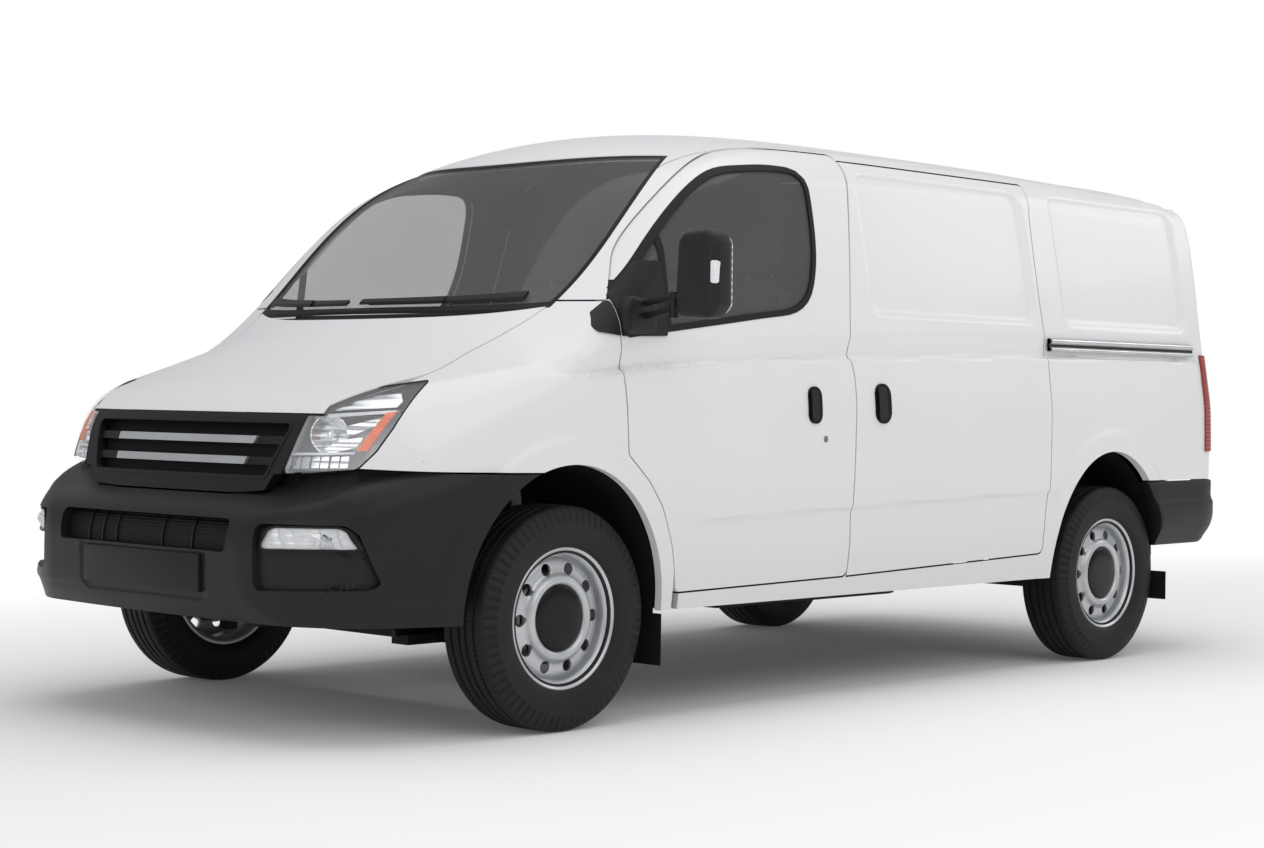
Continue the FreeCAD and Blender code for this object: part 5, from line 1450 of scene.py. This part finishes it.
def build_front_bumper():
    """The front bumper with its intake, blank plate and fog lamps."""
    planes = [((1500, 150), (math.cos(math.radians(a)), math.sin(math.radians(a))), 180)
              for a in np.arange(100.0, 7.9, -0.7)]
    bumper.lay(planes, 12.0, 9.0, 16.0, 150.0)
    shell = bumper.slab((1560, -1020, 340), (2480, 1020, 900), 14, name="bumper_shell")
    carve(shell, bumper_zone(0), "INTERSECT")
    carve(shell, block(1560, 2600, -1200, 1200, 354, 900), "INTERSECT")
    for cutter in (both_sides(arch_prism("front", 0, 500, 1200)), prism(intake_outline, 2200, 2600, "X"),
                   both_sides(prism(fog_recess, 2050, 2600, "X"))):
        carve(shell, cutter)
    largest_part(shell)
    bumper.shade(shell)
    settle(shell, "body", ["front_bumper"], "bumper_plastic")

    low, high = (2250, -470, 540), (2480, 470, 690)
    wall = bumper_sheet("intake_wall", low, high, 3, 44, grown(intake_outline, 5),
                        [prism(grown(intake_outline, -0.8), 2200, 2600, "X")])
    settle(wall, "body", (), "bumper_plastic")
    settle(bumper_sheet("intake_mesh", low, high, 34, 4, grown(intake_outline, 4)), "body",
           (), "intake_screen")
    ribs = [bumper_sheet("rib", low, high, 29, 8, [(y - 3, 560, 0), (y + 3, 560, 0), (y + 3, 668, 0),
                                                   (y - 3, 668, 0)]) for y in (-310, -232, -155, 90, 240)]
    settle(joined("intake_ribs", ribs), "body", (), "trim_black")

    plate = prism([(-289, 438, 8), (318, 438, 8), (318, 554, 8), (-289, 554, 8)], 2440, 2474.5, "X",
                  "plate_holder")
    soften(plate, 2.0)
    settle(smooth(plate), "body", (), "trim_black")

    low, high = (2050, 500, 430), (2480, 900, 690)
    lens_outline = [(566, 581, 12), (819, 585, 5), (791, 647, 34), (594, 645, 30)]
    for side, name in ((LEFT, "left"), (RIGHT, "right")):
        made = [(bumper_sheet("fog_trim_" + name, low, high, 24, 5, grown(fog_recess, 6)), "bumper_plastic",
                 "bumper_plastic", ["fog_lamps"]),
                (bumper_sheet("fog_wall_" + name, low, high, 2, 26, grown(fog_recess, 5),
                              [prism(grown(fog_recess, -0.8), 1500, 2700, "X")]), "bumper_plastic",
                 "bumper_plastic", []),
                (bumper_sheet("fog_lens_" + name, low, high, 7, 4, lens_outline), "lamp_lens", "fog_lens",
                 []),
                (bumper_sheet("fog_bowl_" + name, low, high, 18, 5, grown(lens_outline, -1)), "lamp_lens",
                 "lamp_shell", []),
                (bumper_sheet("fog_frame_" + name, low, high, 5, 19, grown(lens_outline, 5),
                              [prism(grown(lens_outline, -1), 1500, 2700, "X")]), "bumper_plastic",
                 "trim_black", []),
                (joined("fog_vanes_" + name,
                        [bumper_sheet("vane", low, high, 12 + 2 * (i % 3), 6,
                                      [(y, 588, 0), (y + 22, 590, 0), (y + 4, 640, 0), (y - 12, 640, 0)])
                         for i, y in enumerate(range(610, 780, 38))]), "lamp_lens", "reflector", [])]
        for piece, slot, finish, nodes in made:
            if side == RIGHT:
                moved(piece, Matrix.Diagonal((1, -1, 1, 1)))
            settle(piece, "body", nodes, finish)


def swept(name, path, section):
    """A closed section (out, z) carried along a path (x, y) in plan, with its outside on the left."""
    path = np.array(path, float)
    run = np.gradient(path, axis=0)
    run /= np.hypot(run[:, 0], run[:, 1])[:, None]
    points = [(x - v * out, y + u * out, z) for (x, y), (u, v) in zip(path, run) for out, z in section]
    count, last = len(section), len(path) - 1
    faces = [[i * count + k, i * count + (k + 1) % count, (i + 1) * count + (k + 1) % count,
              (i + 1) * count + k]
             for i in range(last) for k in range(count)]
    faces += [list(range(count)), [last * count + k for k in range(count)][::-1]]
    return turned_out(mesh_piece(name, points, faces))


def build_rear_bumper():
    """The rear bumper: a low middle with a step, and high corners that run forwards to the arches."""
    half = [(-2475, 0), (-2475, 300), (-2474, 600), (-2463, 780), (-2436, 880), (-2381, 953), (-2292, 992),
            (-2150, 1001), (-1960, 1006), (-1850, 1006), (-1700, 1004)]
    path = eased([(x, -y) for x, y in half[:0:-1]] + half, 4)
    section = [(-62, 716), (-22, 721), (-13, 719), (-10, 712), (-10, 655), (-7, 640), (-1, 628), (0, 618),
               (0, 575), (-3, 552), (-10, 528), (-22, 505), (-36, 484), (-48, 462), (-60, 452), (-74, 452)]
    shell = swept("rear_bumper_shell", path, section)
    carve(shell, block(-2600, -2300, -842, 842, 592, 800))
    carve(shell, both_sides(arch_prism("rear", 0, 500, 1200)))
    soften(shell, bpy.context.scene.van_sizes.bumper_edge / 3, 35)
    settle(smooth(shell, 42), "body", ["rear_bumper"], "bumper_plastic")
    tread = block(-2466, -2406, -800, 800, 590, 594)
    for i in range(7):
        carve(tread, block(-2460 + 8 * i, -2457 + 8 * i, -790, 790, 592.5, 600))
    tread.name = "bumper_tread"
    settle(soften(tread, 0.8), "body", (), "trim_black")


def build_tail():
    """Tail lamps and the sliding door's rail."""
    low, high = (-2420, 760, 830), (-2230, 1010, 1260)
    bands = (("red", 842, 1250, "tail_lens"), ("reverse", 1004, 1074, "clear_tail"),
             ("turn", 1077, 1148, "amber_lens"))
    for label, z0, z1, finish in bands:
        piece = body.slab(low, high, 16, -8.5, True, name="lamp")
        carve(piece, prism([(-2600, z0, 0), (-2238, z0, 0), (-2238, z1, 0), (-2600, z1, 0)], 300, 1200),
              "INTERSECT")
        carve(piece, tail_door_gap())
        behind = min(v.co.x for v in piece.data.vertices) * 1000 + 34
        carve(piece, block(-2600, behind, -1200, 1200, 1002, 1150), "DIFFERENCE" if label == "red"
              else "INTERSECT")
        body.shade(piece, -8.5, plain=True)
        twin = mirrored(piece, "tail_lamp_" + label + "_right")
        piece.name = "tail_lamp_" + label + "_left"
        for one in (piece, twin):
            settle(one, "body", ["tail_lamps"] if label == "red" else [], finish)
    path = [(x, float(body_half_width(np.array([x]), np.array([1266.0]))[0]))
            for x in np.linspace(-2180, -1082, 24)]
    channel = [(-4, 1241), (4, 1241), (8, 1243), (10, 1248), (9, 1253), (6, 1256), (3, 1257), (2.6, 1264),
               (3, 1271), (6, 1272), (9, 1275), (10, 1281), (8, 1287), (4, 1291), (-4, 1291)]
    for label, section, finish in (("channel", channel, "rail_aluminium"),
                                   ("groove", [(0, 1258.5), (3.6, 1258.5), (3.6, 1269.5), (0, 1269.5)],
                                    "trim_black"),
                                   ("end", None, "trim_black")):
        if section:
            piece = smooth(swept("slide_rail_" + label, path, section), 60)
        else:
            piece = swept("slide_rail_end", path[-2:], [(a * 1.02 + 0.4, b) for a, b in channel])
            carve(piece, block(-1094, -1000, 0, 1200, 1200, 1320), "INTERSECT")
        settle(piece, "body", ["slide_rail"] if label == "channel" else [], finish)


def tail_patch(name, outline, level, thickness):
    """A patch of the left rear door's skin inside an outline (y, z, radius)."""
    flat = rounded(outline)
    piece = body.slab((-2430, flat[:, 0].min(), flat[:, 1].min()),
                      (-2300, flat[:, 0].max(), flat[:, 1].max()), thickness, level, True, name=name)
    carve(piece, prism(outline, -2600, -2230, "X"), "INTERSECT")
    body.shade(piece, level, plain=True)
    return piece


def build_tail_fittings():
    """Hinges on both rear doors, and the handle, its lock and the bare plate holder."""
    for name, side in SIDES:
        hinges = []
        for z in (760, 1150, 1600):
            hinges.append(soften(tail_patch("hinge", oval(812, z + 35, 44, 33, 12), -5, 10), 2.5, 30))
            hinges.append(soften(tail_patch("hinge", oval(846, z + 35, 9, 35, 6), -11, 14), 3.0, 30))
        piece = joined("rear_hinges_" + name, hinges)
        if side == RIGHT:
            moved(piece, Matrix.Diagonal((1, -1, 1, 1)))
        settle(smooth(piece, 50), "door_rear_" + name, (), "body_paint")
    cup = tail_patch("rear_handle_cup", oval(92, 1040, 52, 34, 28), -4, 8)
    pull = smooth(soften(tail_patch("rear_handle_pull", oval(92, 1052, 44, 13, 10), -13, 11), 3.0, 30), 50)
    lock = tail_patch("rear_lock", oval(92, 1018, 9, 9, 8), -7, 5)
    for piece, finish in ((cup, "gloss_black"), (pull, "trim_black"), (lock, "bare_steel")):
        moved(piece, Matrix.Diagonal((1, -1, 1, 1)))
        settle(piece, "door_rear_right", (), finish)
    plate = soften(tail_patch("plate_holder_tail", oval(400, 900, 262, 60, 10), -5, 9), 2.0)
    edge = tail_patch("plate_edge_tail", oval(400, 900, 266, 64, 12), -8, 6)
    carve(edge, prism(oval(400, 900, 256, 54, 8), -2600, -2230, "X"))
    lamps = [soften(tail_patch("lamp", oval(y, 978, 34, 9, 5), -12, 14), 2.0) for y in (300, 500)]
    settle(smooth(joined("plate_holder_tail", [plate, edge]), 40), "door_rear_left", (),
           "trim_black")
    settle(smooth(joined("plate_lamps", lamps), 40), "door_rear_left", (), "clear_tail")


# Fittings
def oval(x, z, half_x, half_z, radius):
    return [(x - half_x, z - half_z, radius), (x + half_x, z - half_z, radius),
            (x + half_x, z + half_z, radius), (x - half_x, z + half_z, radius)]


def skin_patch(name, outline, level, thickness, plain=False):
    """A patch of the left side's skin inside an outline (x, z, radius)."""
    flat = rounded(outline)
    low = (flat[:, 0].min(), 700, flat[:, 1].min())
    high = (flat[:, 0].max(), 1020, flat[:, 1].max())
    piece = body.slab(low, high, thickness, level, plain, name=name)
    carve(piece, prism(outline, 300, 1200), "INTERSECT")
    return body.shade(piece, level, plain=plain)


def build_handles():
    """The door handles with their pulls, and the locks."""
    for label, x, z, half_x, half_z, on in (("front_left", 398, 1021, 36, 64, "door_front_left"),
                                            ("front_right", 398, 1021, 36, 64, "door_front_right"),
                                            ("sliding", 14, 1029, 45, 71, "body")):
        cup = skin_patch("handle_cup_" + label, oval(x, z, half_x, half_z, half_x - 4), -5, 9)
        pull = skin_patch("handle_pull_" + label, oval(x + half_x * 0.25, z, half_x * 0.52, half_z - 12,
                                                       14), -13, 11)
        soften(pull, 3.0, 30)
        smooth(pull, 50)
        parts = [(cup, "gloss_black"), (pull, "trim_black")]
        if on != "body":
            parts.append((skin_patch("door_lock_" + label, oval(340, 904, 10, 11, 9), -2, 4), "bare_steel"))
        for piece, finish in parts:
            if "right" in label:
                moved(piece, Matrix.Diagonal((1, -1, 1, 1)))
            settle(piece, on, (), finish)


def bar(start, end, radius, flats=20):
    """A round bar between two points in millimetres."""
    piece = spun("bar", [(0, 0), (radius, 0), (radius, 1), (0, 1)], flats, False)
    start, end = Vector(start) * MM, Vector(end) * MM
    run = end - start
    turn = Vector((0, 1, 0)).rotation_difference(run).to_matrix().to_4x4()
    moved(piece, Matrix.Translation(start) @ turn @ Matrix.Diagonal((1, run.length / MM, 1, 1)))
    return smooth(piece)


def build_mirror():
    """The left mirror: foot, arms, housing, glass and side lamp."""
    on = "door_front_left"
    foot = prism([(1176, 1240, 20), (1328, 1234, 20), (1330, 1318, 30), (1296, 1364, 30), (1176, 1350, 30)],
                 880, 982)
    modify(foot, "BEVEL", width=0.022, segments=5, limit_method="ANGLE", angle_limit=math.radians(50))
    foot.name = "mirror_foot"
    settle(smooth(foot, 50), on, ["mirror_left"], "bumper_plastic")
    sail = skin_patch("mirror_sail", [(1120, 1238, 10), (1331, 1232, 6), (1331, 1362, 6), (1300, 1392, 10),
                                      (1120, 1560, 0)], -6, 12, True)
    carve(sail, block(1112, 1400, 0, 1200, 1200, 1480), "INTERSECT")
    settle(sail, on, (), "trim_black")
    corner = skin_patch("pillar_corner", [(1339, 1233, 4), (1436, 1246, 16), (1396, 1306, 20),
                                          (1339, 1350, 6)],
                        -6, 10, True)
    settle(corner, "body", (), "bumper_plastic")
    arms = [bar((1236, 940, 1293), (1236, 1165, 1325), 11), bar((1236, 940, 1335), (1236, 1165, 1367), 11),
            bar((1236, 1100, 1290), (1236, 1100, 1372), 15)]
    settle(joined("mirror_arms", arms), on, (), "bumper_plastic")
    shell = [(1140, 1290, 34), (1282, 1284, 50), (1318, 1322, 30), (1317, 1536, 46), (1280, 1562, 34),
             (1150, 1556, 46)]
    housing = prism(shell, 1196, 1291, "X", "mirror_housing")
    modify(housing, "BEVEL", width=0.030, segments=7, limit_method="ANGLE", angle_limit=math.radians(50))
    settle(smooth(housing, 50), on, (), "bumper_plastic")
    glass = prism(grown(shell, -14), 1192.5, 1197, "X", "mirror_glass")
    settle(glass, on, (), "reflector")
    lamp = prism([(1286, 1392, 6), (1316, 1392, 6), (1317, 1462, 6), (1288, 1466, 6)], 1236, 1289, "X",
                 "mirror_side_lamp")
    modify(lamp, "BEVEL", width=0.006, segments=3, limit_method="ANGLE", angle_limit=math.radians(50))
    settle(smooth(lamp), on, (), "clear_tail")


def build_wipers():
    """Wiper blades and arms on the foot of the windscreen."""
    parts = []
    for y0, y1 in ((30, 640), (-640, -90)):
        for outer_margin, inner_margin, a, b, level, thick in (
                (-20, -36, y0, y1, -9, 8), (-13, -30, y0 - 40, y0 + 330, -14, 7)):
            piece = body.slab((1380, -660, 1270), (1640, 660, 1500), thick, level, True, name="wiper")
            carve(piece, screen_area(outer_margin), "INTERSECT")
            carve(piece, screen_area(inner_margin))
            carve(piece, block(1380, 1700, a, b, 1200, 1600), "INTERSECT")
            parts.append(body.shade(largest_part(piece), level, plain=True))
    settle(joined("wiper_set", parts), "body", ["wipers"], "trim_black")


# Cab
def pad(name, side_view, y0, y1, seams=1, width=20.0):
    """A stuffed pad from its side view, sewn in channels along the van."""
    bolster = 72.0 if seams else 0.0
    edges = [y0, y0 + bolster, y1 - bolster, y1] if seams else [y0, y1]
    channels = []
    for a, b in zip(edges, edges[1:]):
        piece = prism(side_view, a + 1, b - 1, "Y", name)
        modify(piece, "BEVEL", width=width * MM, segments=4, limit_method="ANGLE",
               angle_limit=math.radians(30))
        channels.append(smooth(piece, 60))
    piece = joined(name, channels)
    settle(piece, "body", (), "seat_fabric")
    return piece


def build_cab():
    """Seats, their bases and the steering wheel."""
    cushion = [(185, 772, 30), (688, 784, 40), (698, 880, 50), (420, 868, 0), (185, 850, 30)]
    back = [(240, 840, 30), (376, 862, 40), (322, 1160, 0), (252, 1474, 50), (142, 1474, 30), (168, 1100, 0)]
    head = [(150, 1490, 20), (232, 1492, 30), (214, 1686, 40), (140, 1686, 30)]
    first = True
    for label, y0, y1 in (("driver", -700, -210), ("middle", -120, 328), ("outer", 332, 780)):
        for piece in (pad("seat_cushion_" + label, cushion, y0 + 4, y1 - 4),
                      pad("seat_back_" + label, back, y0 + 8, y1 - 8),
                      pad("headrest_" + label, head, (y0 + y1) / 2 - 122, (y0 + y1) / 2 + 122, 0, 30.0)):
            if first:
                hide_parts("seats")
                first = False
        stems = [bar((185, (y0 + y1) / 2 + s, 1465), (185, (y0 + y1) / 2 + s, 1500), 6) for s in (-60, 60)]
        base = prism([(245, 500, 0), (598, 500, 0), (598, 772, 0), (245, 772, 0)], y0 + 50, y1 - 50, "Y")
        settle(smooth(soften(base, 8.0)), "body", (), "cab_plastic")
        base.name = "seat_base_" + label
        settle(joined("headrest_stems_" + label, stems), "body", (), "bare_steel")
    deselect()
    axis = Vector((-0.42, 0, 0.9075))
    bpy.ops.mesh.primitive_torus_add(major_segments=72, minor_segments=18, major_radius=0.186,
                                     minor_radius=0.0145)
    ring = bpy.context.object
    hub = spun("hub", [(0, 0), (52, 0), (58, -8), (54, -36), (0, -40)], 40, False)
    hub.data.transform(Matrix.Rotation(math.radians(90), 4, "X"))
    spokes = []
    for turn in (90, 210, 330):
        spoke = block(20, 180, -17, 17, -12, 2)
        soften(spoke, 4.0)
        moved(spoke, Matrix.Rotation(math.radians(turn), 4, "Z"))
        spokes.append(spoke)
    wheel = joined("steering_ring", [ring, tidy(hub)] + spokes)
    turn = Vector((0, 0, 1)).rotation_difference(axis).to_matrix().to_4x4()
    moved(wheel, Matrix.Translation((0.690, -0.455, 1.150)) @ turn)
    settle(smooth(wheel), "steering", ["steering_wheel"], "cab_plastic")


NODE_FINISHES = {
    "arch_liners": "liner_plastic", "floor": "chassis_steel", "underframe": "chassis_steel",
    "front_suspension": "chassis_steel", "rear_axle": "chassis_steel", "exhaust": "exhaust_steel",
    "fuel_tank": "tank_plastic", "engine": "engine_metal", "bulkhead": "cab_plastic",
    "dashboard": "cab_plastic", "knuckle_left": "bare_steel", "knuckle_right": "bare_steel"}


def finish_nodes():
    """Gives the parts that stay in view their finishes."""
    for node, finish in NODE_FINISHES.items():
        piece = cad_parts[node]
        for slot in piece.material_slots:
            slot.material = finish_of(finish)
# Settings
class VanColours(bpy.types.PropertyGroup):
    """Colours that a user would change."""

    paint: FloatVectorProperty(name="Paint", description="Colour of the body's paint", subtype="COLOR",
                               min=0.0, max=1.0, default=(0.80, 0.80, 0.80))
    plastic: FloatVectorProperty(name="Bumper plastic", description="Colour of the bumpers and the mirror",
                                 subtype="COLOR", min=0.0, max=1.0, default=(0.009, 0.009, 0.0095))
    wheel: FloatVectorProperty(name="Wheels", description="Colour of the steel wheels", subtype="COLOR",
                               min=0.0, max=1.0, default=(0.62, 0.63, 0.64))
    cloth: FloatVectorProperty(name="Seat cloth", description="Darker shade of the seat cloth",
                               subtype="COLOR", min=0.0, max=1.0, default=(0.050, 0.052, 0.058))


class VanSizes(bpy.types.PropertyGroup):
    """Sizes that a user would change."""

    skin_step: FloatProperty(name="Skin step", description="Spacing of the skin's grid across the van, in mm",
                             min=6.0, max=40.0, default=13.0)
    bumper_edge: FloatProperty(name="Bumper edge", description="Rounding of the rear bumper's edges, in mm",
                               min=1.0, max=20.0, default=9.0)
    vents: IntProperty(name="Wheel vents", description="Round vents in each steel wheel", min=4, max=16,
                       default=10)
    tread_steps: IntProperty(name="Tyre steps", description="Steps round each tyre", min=48, max=256,
                             default=128)




def lay_skin():
    """Lays the grid of the body's skin."""
    body.lay(section_planes(), bpy.context.scene.van_sizes.skin_step, 8.0, 34.0, 105.0)


# Operators
class VAN_OT_stage(bpy.types.Operator):
    """Makes the floor, the lamps, the white surroundings and the camera."""

    bl_idname = "van.stage"
    bl_label = "Stage"

    def execute(self, context):
        build_stage()
        return {"FINISHED"}


class VAN_OT_skin(bpy.types.Operator):
    """Lays the grid of the body's skin, from which the panels are cut."""

    bl_idname = "van.skin"
    bl_label = "Body skin"

    def execute(self, context):
        lay_skin()
        return {"FINISHED"}


class VAN_OT_roof(bpy.types.Operator):
    """Makes the roof between the gutters."""

    bl_idname = "van.roof"
    bl_label = "Roof"

    def execute(self, context):
        build_roof()
        return {"FINISHED"}


class VAN_OT_body_sides(bpy.types.Operator):
    """Makes the fixed sides of the body."""

    bl_idname = "van.body_sides"
    bl_label = "Body sides"

    def execute(self, context):
        build_body_sides()
        return {"FINISHED"}


class VAN_OT_front_doors(bpy.types.Operator):
    """Makes the front doors with their glass, seals and posts."""

    bl_idname = "van.front_doors"
    bl_label = "Front doors"

    def execute(self, context):
        build_front_doors()
        return {"FINISHED"}


class VAN_OT_sliding_door(bpy.types.Operator):
    """Makes the sliding door in the left side."""

    bl_idname = "van.sliding_door"
    bl_label = "Sliding door"

    def execute(self, context):
        build_sliding_door()
        return {"FINISHED"}


class VAN_OT_rear_doors(bpy.types.Operator):
    """Makes the two rear doors."""

    bl_idname = "van.rear_doors"
    bl_label = "Rear doors"

    def execute(self, context):
        build_rear_doors()
        return {"FINISHED"}


class VAN_OT_nose(bpy.types.Operator):
    """Makes the wings, the bonnet, the scuttle and the windscreen."""

    bl_idname = "van.nose"
    bl_label = "Nose"

    def execute(self, context):
        build_nose()
        return {"FINISHED"}


class VAN_OT_wheels(bpy.types.Operator):
    """Makes the tyres, steel wheels, hub caps and brake drums."""

    bl_idname = "van.wheels"
    bl_label = "Wheels"

    def execute(self, context):
        build_wheels()
        return {"FINISHED"}


class VAN_OT_headlamps(bpy.types.Operator):
    """Makes the headlamps with all that is in them."""

    bl_idname = "van.headlamps"
    bl_label = "Headlamps"

    def execute(self, context):
        build_headlamps()
        return {"FINISHED"}


class VAN_OT_grille(bpy.types.Operator):
    """Makes the grille with its slats, bars and screen."""

    bl_idname = "van.grille"
    bl_label = "Grille"

    def execute(self, context):
        build_grille()
        return {"FINISHED"}


class VAN_OT_front_bumper(bpy.types.Operator):
    """Makes the front bumper with its intake, plate place and fog lamps."""

    bl_idname = "van.front_bumper"
    bl_label = "Front bumper"

    def execute(self, context):
        build_front_bumper()
        return {"FINISHED"}


class VAN_OT_rear_bumper(bpy.types.Operator):
    """Makes the rear bumper."""

    bl_idname = "van.rear_bumper"
    bl_label = "Rear bumper"

    def execute(self, context):
        build_rear_bumper()
        return {"FINISHED"}


class VAN_OT_tail(bpy.types.Operator):
    """Makes the tail lamps and the sliding door's rail."""

    bl_idname = "van.tail"
    bl_label = "Tail lamps and rail"

    def execute(self, context):
        build_tail()
        return {"FINISHED"}


class VAN_OT_tail_fittings(bpy.types.Operator):
    """Makes the rear doors' handle, lamp and plate place."""

    bl_idname = "van.tail_fittings"
    bl_label = "Rear door fittings"

    def execute(self, context):
        build_tail_fittings()
        return {"FINISHED"}


class VAN_OT_handles(bpy.types.Operator):
    """Makes the door handles and locks."""

    bl_idname = "van.handles"
    bl_label = "Door handles"

    def execute(self, context):
        build_handles()
        return {"FINISHED"}


class VAN_OT_mirror(bpy.types.Operator):
    """Makes the left mirror on its foot."""

    bl_idname = "van.mirror"
    bl_label = "Mirror"

    def execute(self, context):
        build_mirror()
        return {"FINISHED"}


class VAN_OT_wipers(bpy.types.Operator):
    """Makes the wiper blades and arms."""

    bl_idname = "van.wipers"
    bl_label = "Wipers"

    def execute(self, context):
        build_wipers()
        return {"FINISHED"}


class VAN_OT_cab(bpy.types.Operator):
    """Makes the seats and the steering wheel."""

    bl_idname = "van.cab"
    bl_label = "Cab"

    def execute(self, context):
        build_cab()
        return {"FINISHED"}


class VAN_OT_node_finishes(bpy.types.Operator):
    """Gives the parts of the frame that stay in view their finishes."""

    bl_idname = "van.node_finishes"
    bl_label = "Carried parts"

    def execute(self, context):
        finish_nodes()
        return {"FINISHED"}


class VAN_PT_pieces(bpy.types.Panel):
    """The van's colours, sizes and pieces, in the sidebar."""

    bl_idname = "VAN_PT_pieces"
    bl_label = "Panel van"
    bl_space_type = "VIEW_3D"
    bl_region_type = "UI"
    bl_category = "Panel van"

    def draw(self, context):
        for settings in (context.scene.van_colours, context.scene.van_sizes):
            for name in settings.__annotations__:
                self.layout.prop(settings, name)
        for operator in OPERATORS:
            self.layout.operator(operator.bl_idname)


OPERATORS = (
    VAN_OT_stage, VAN_OT_skin, VAN_OT_roof, VAN_OT_body_sides, VAN_OT_front_doors, VAN_OT_sliding_door,
    VAN_OT_rear_doors, VAN_OT_nose, VAN_OT_wheels, VAN_OT_headlamps, VAN_OT_grille,
    VAN_OT_front_bumper, VAN_OT_rear_bumper, VAN_OT_tail, VAN_OT_tail_fittings, VAN_OT_handles,
    VAN_OT_mirror, VAN_OT_wipers, VAN_OT_cab, VAN_OT_node_finishes)
CLASSES = (VanColours, VanSizes) + OPERATORS + (VAN_PT_pieces,)


def register():
    for each in CLASSES:
        bpy.utils.register_class(each)
    bpy.types.Scene.van_colours = PointerProperty(type=VanColours)
    bpy.types.Scene.van_sizes = PointerProperty(type=VanSizes)


def unregister():
    del bpy.types.Scene.van_sizes
    del bpy.types.Scene.van_colours
    for each in reversed(CLASSES):
        bpy.utils.unregister_class(each)


def main():
    """Makes all pieces in order."""
    register()
    bpy.ops.van.stage()
    bpy.ops.van.skin()
    bpy.ops.van.roof()
    bpy.ops.van.body_sides()
    bpy.ops.van.front_doors()
    bpy.ops.van.sliding_door()
    bpy.ops.van.rear_doors()
    bpy.ops.van.nose()
    bpy.ops.van.wheels()
    bpy.ops.van.headlamps()
    bpy.ops.van.grille()
    bpy.ops.van.front_bumper()
    bpy.ops.van.rear_bumper()
    bpy.ops.van.tail()
    bpy.ops.van.tail_fittings()
    bpy.ops.van.handles()
    bpy.ops.van.mirror()
    bpy.ops.van.wipers()
    bpy.ops.van.cab()
    bpy.ops.van.node_finishes()


if __name__ == "__main__":
    main()
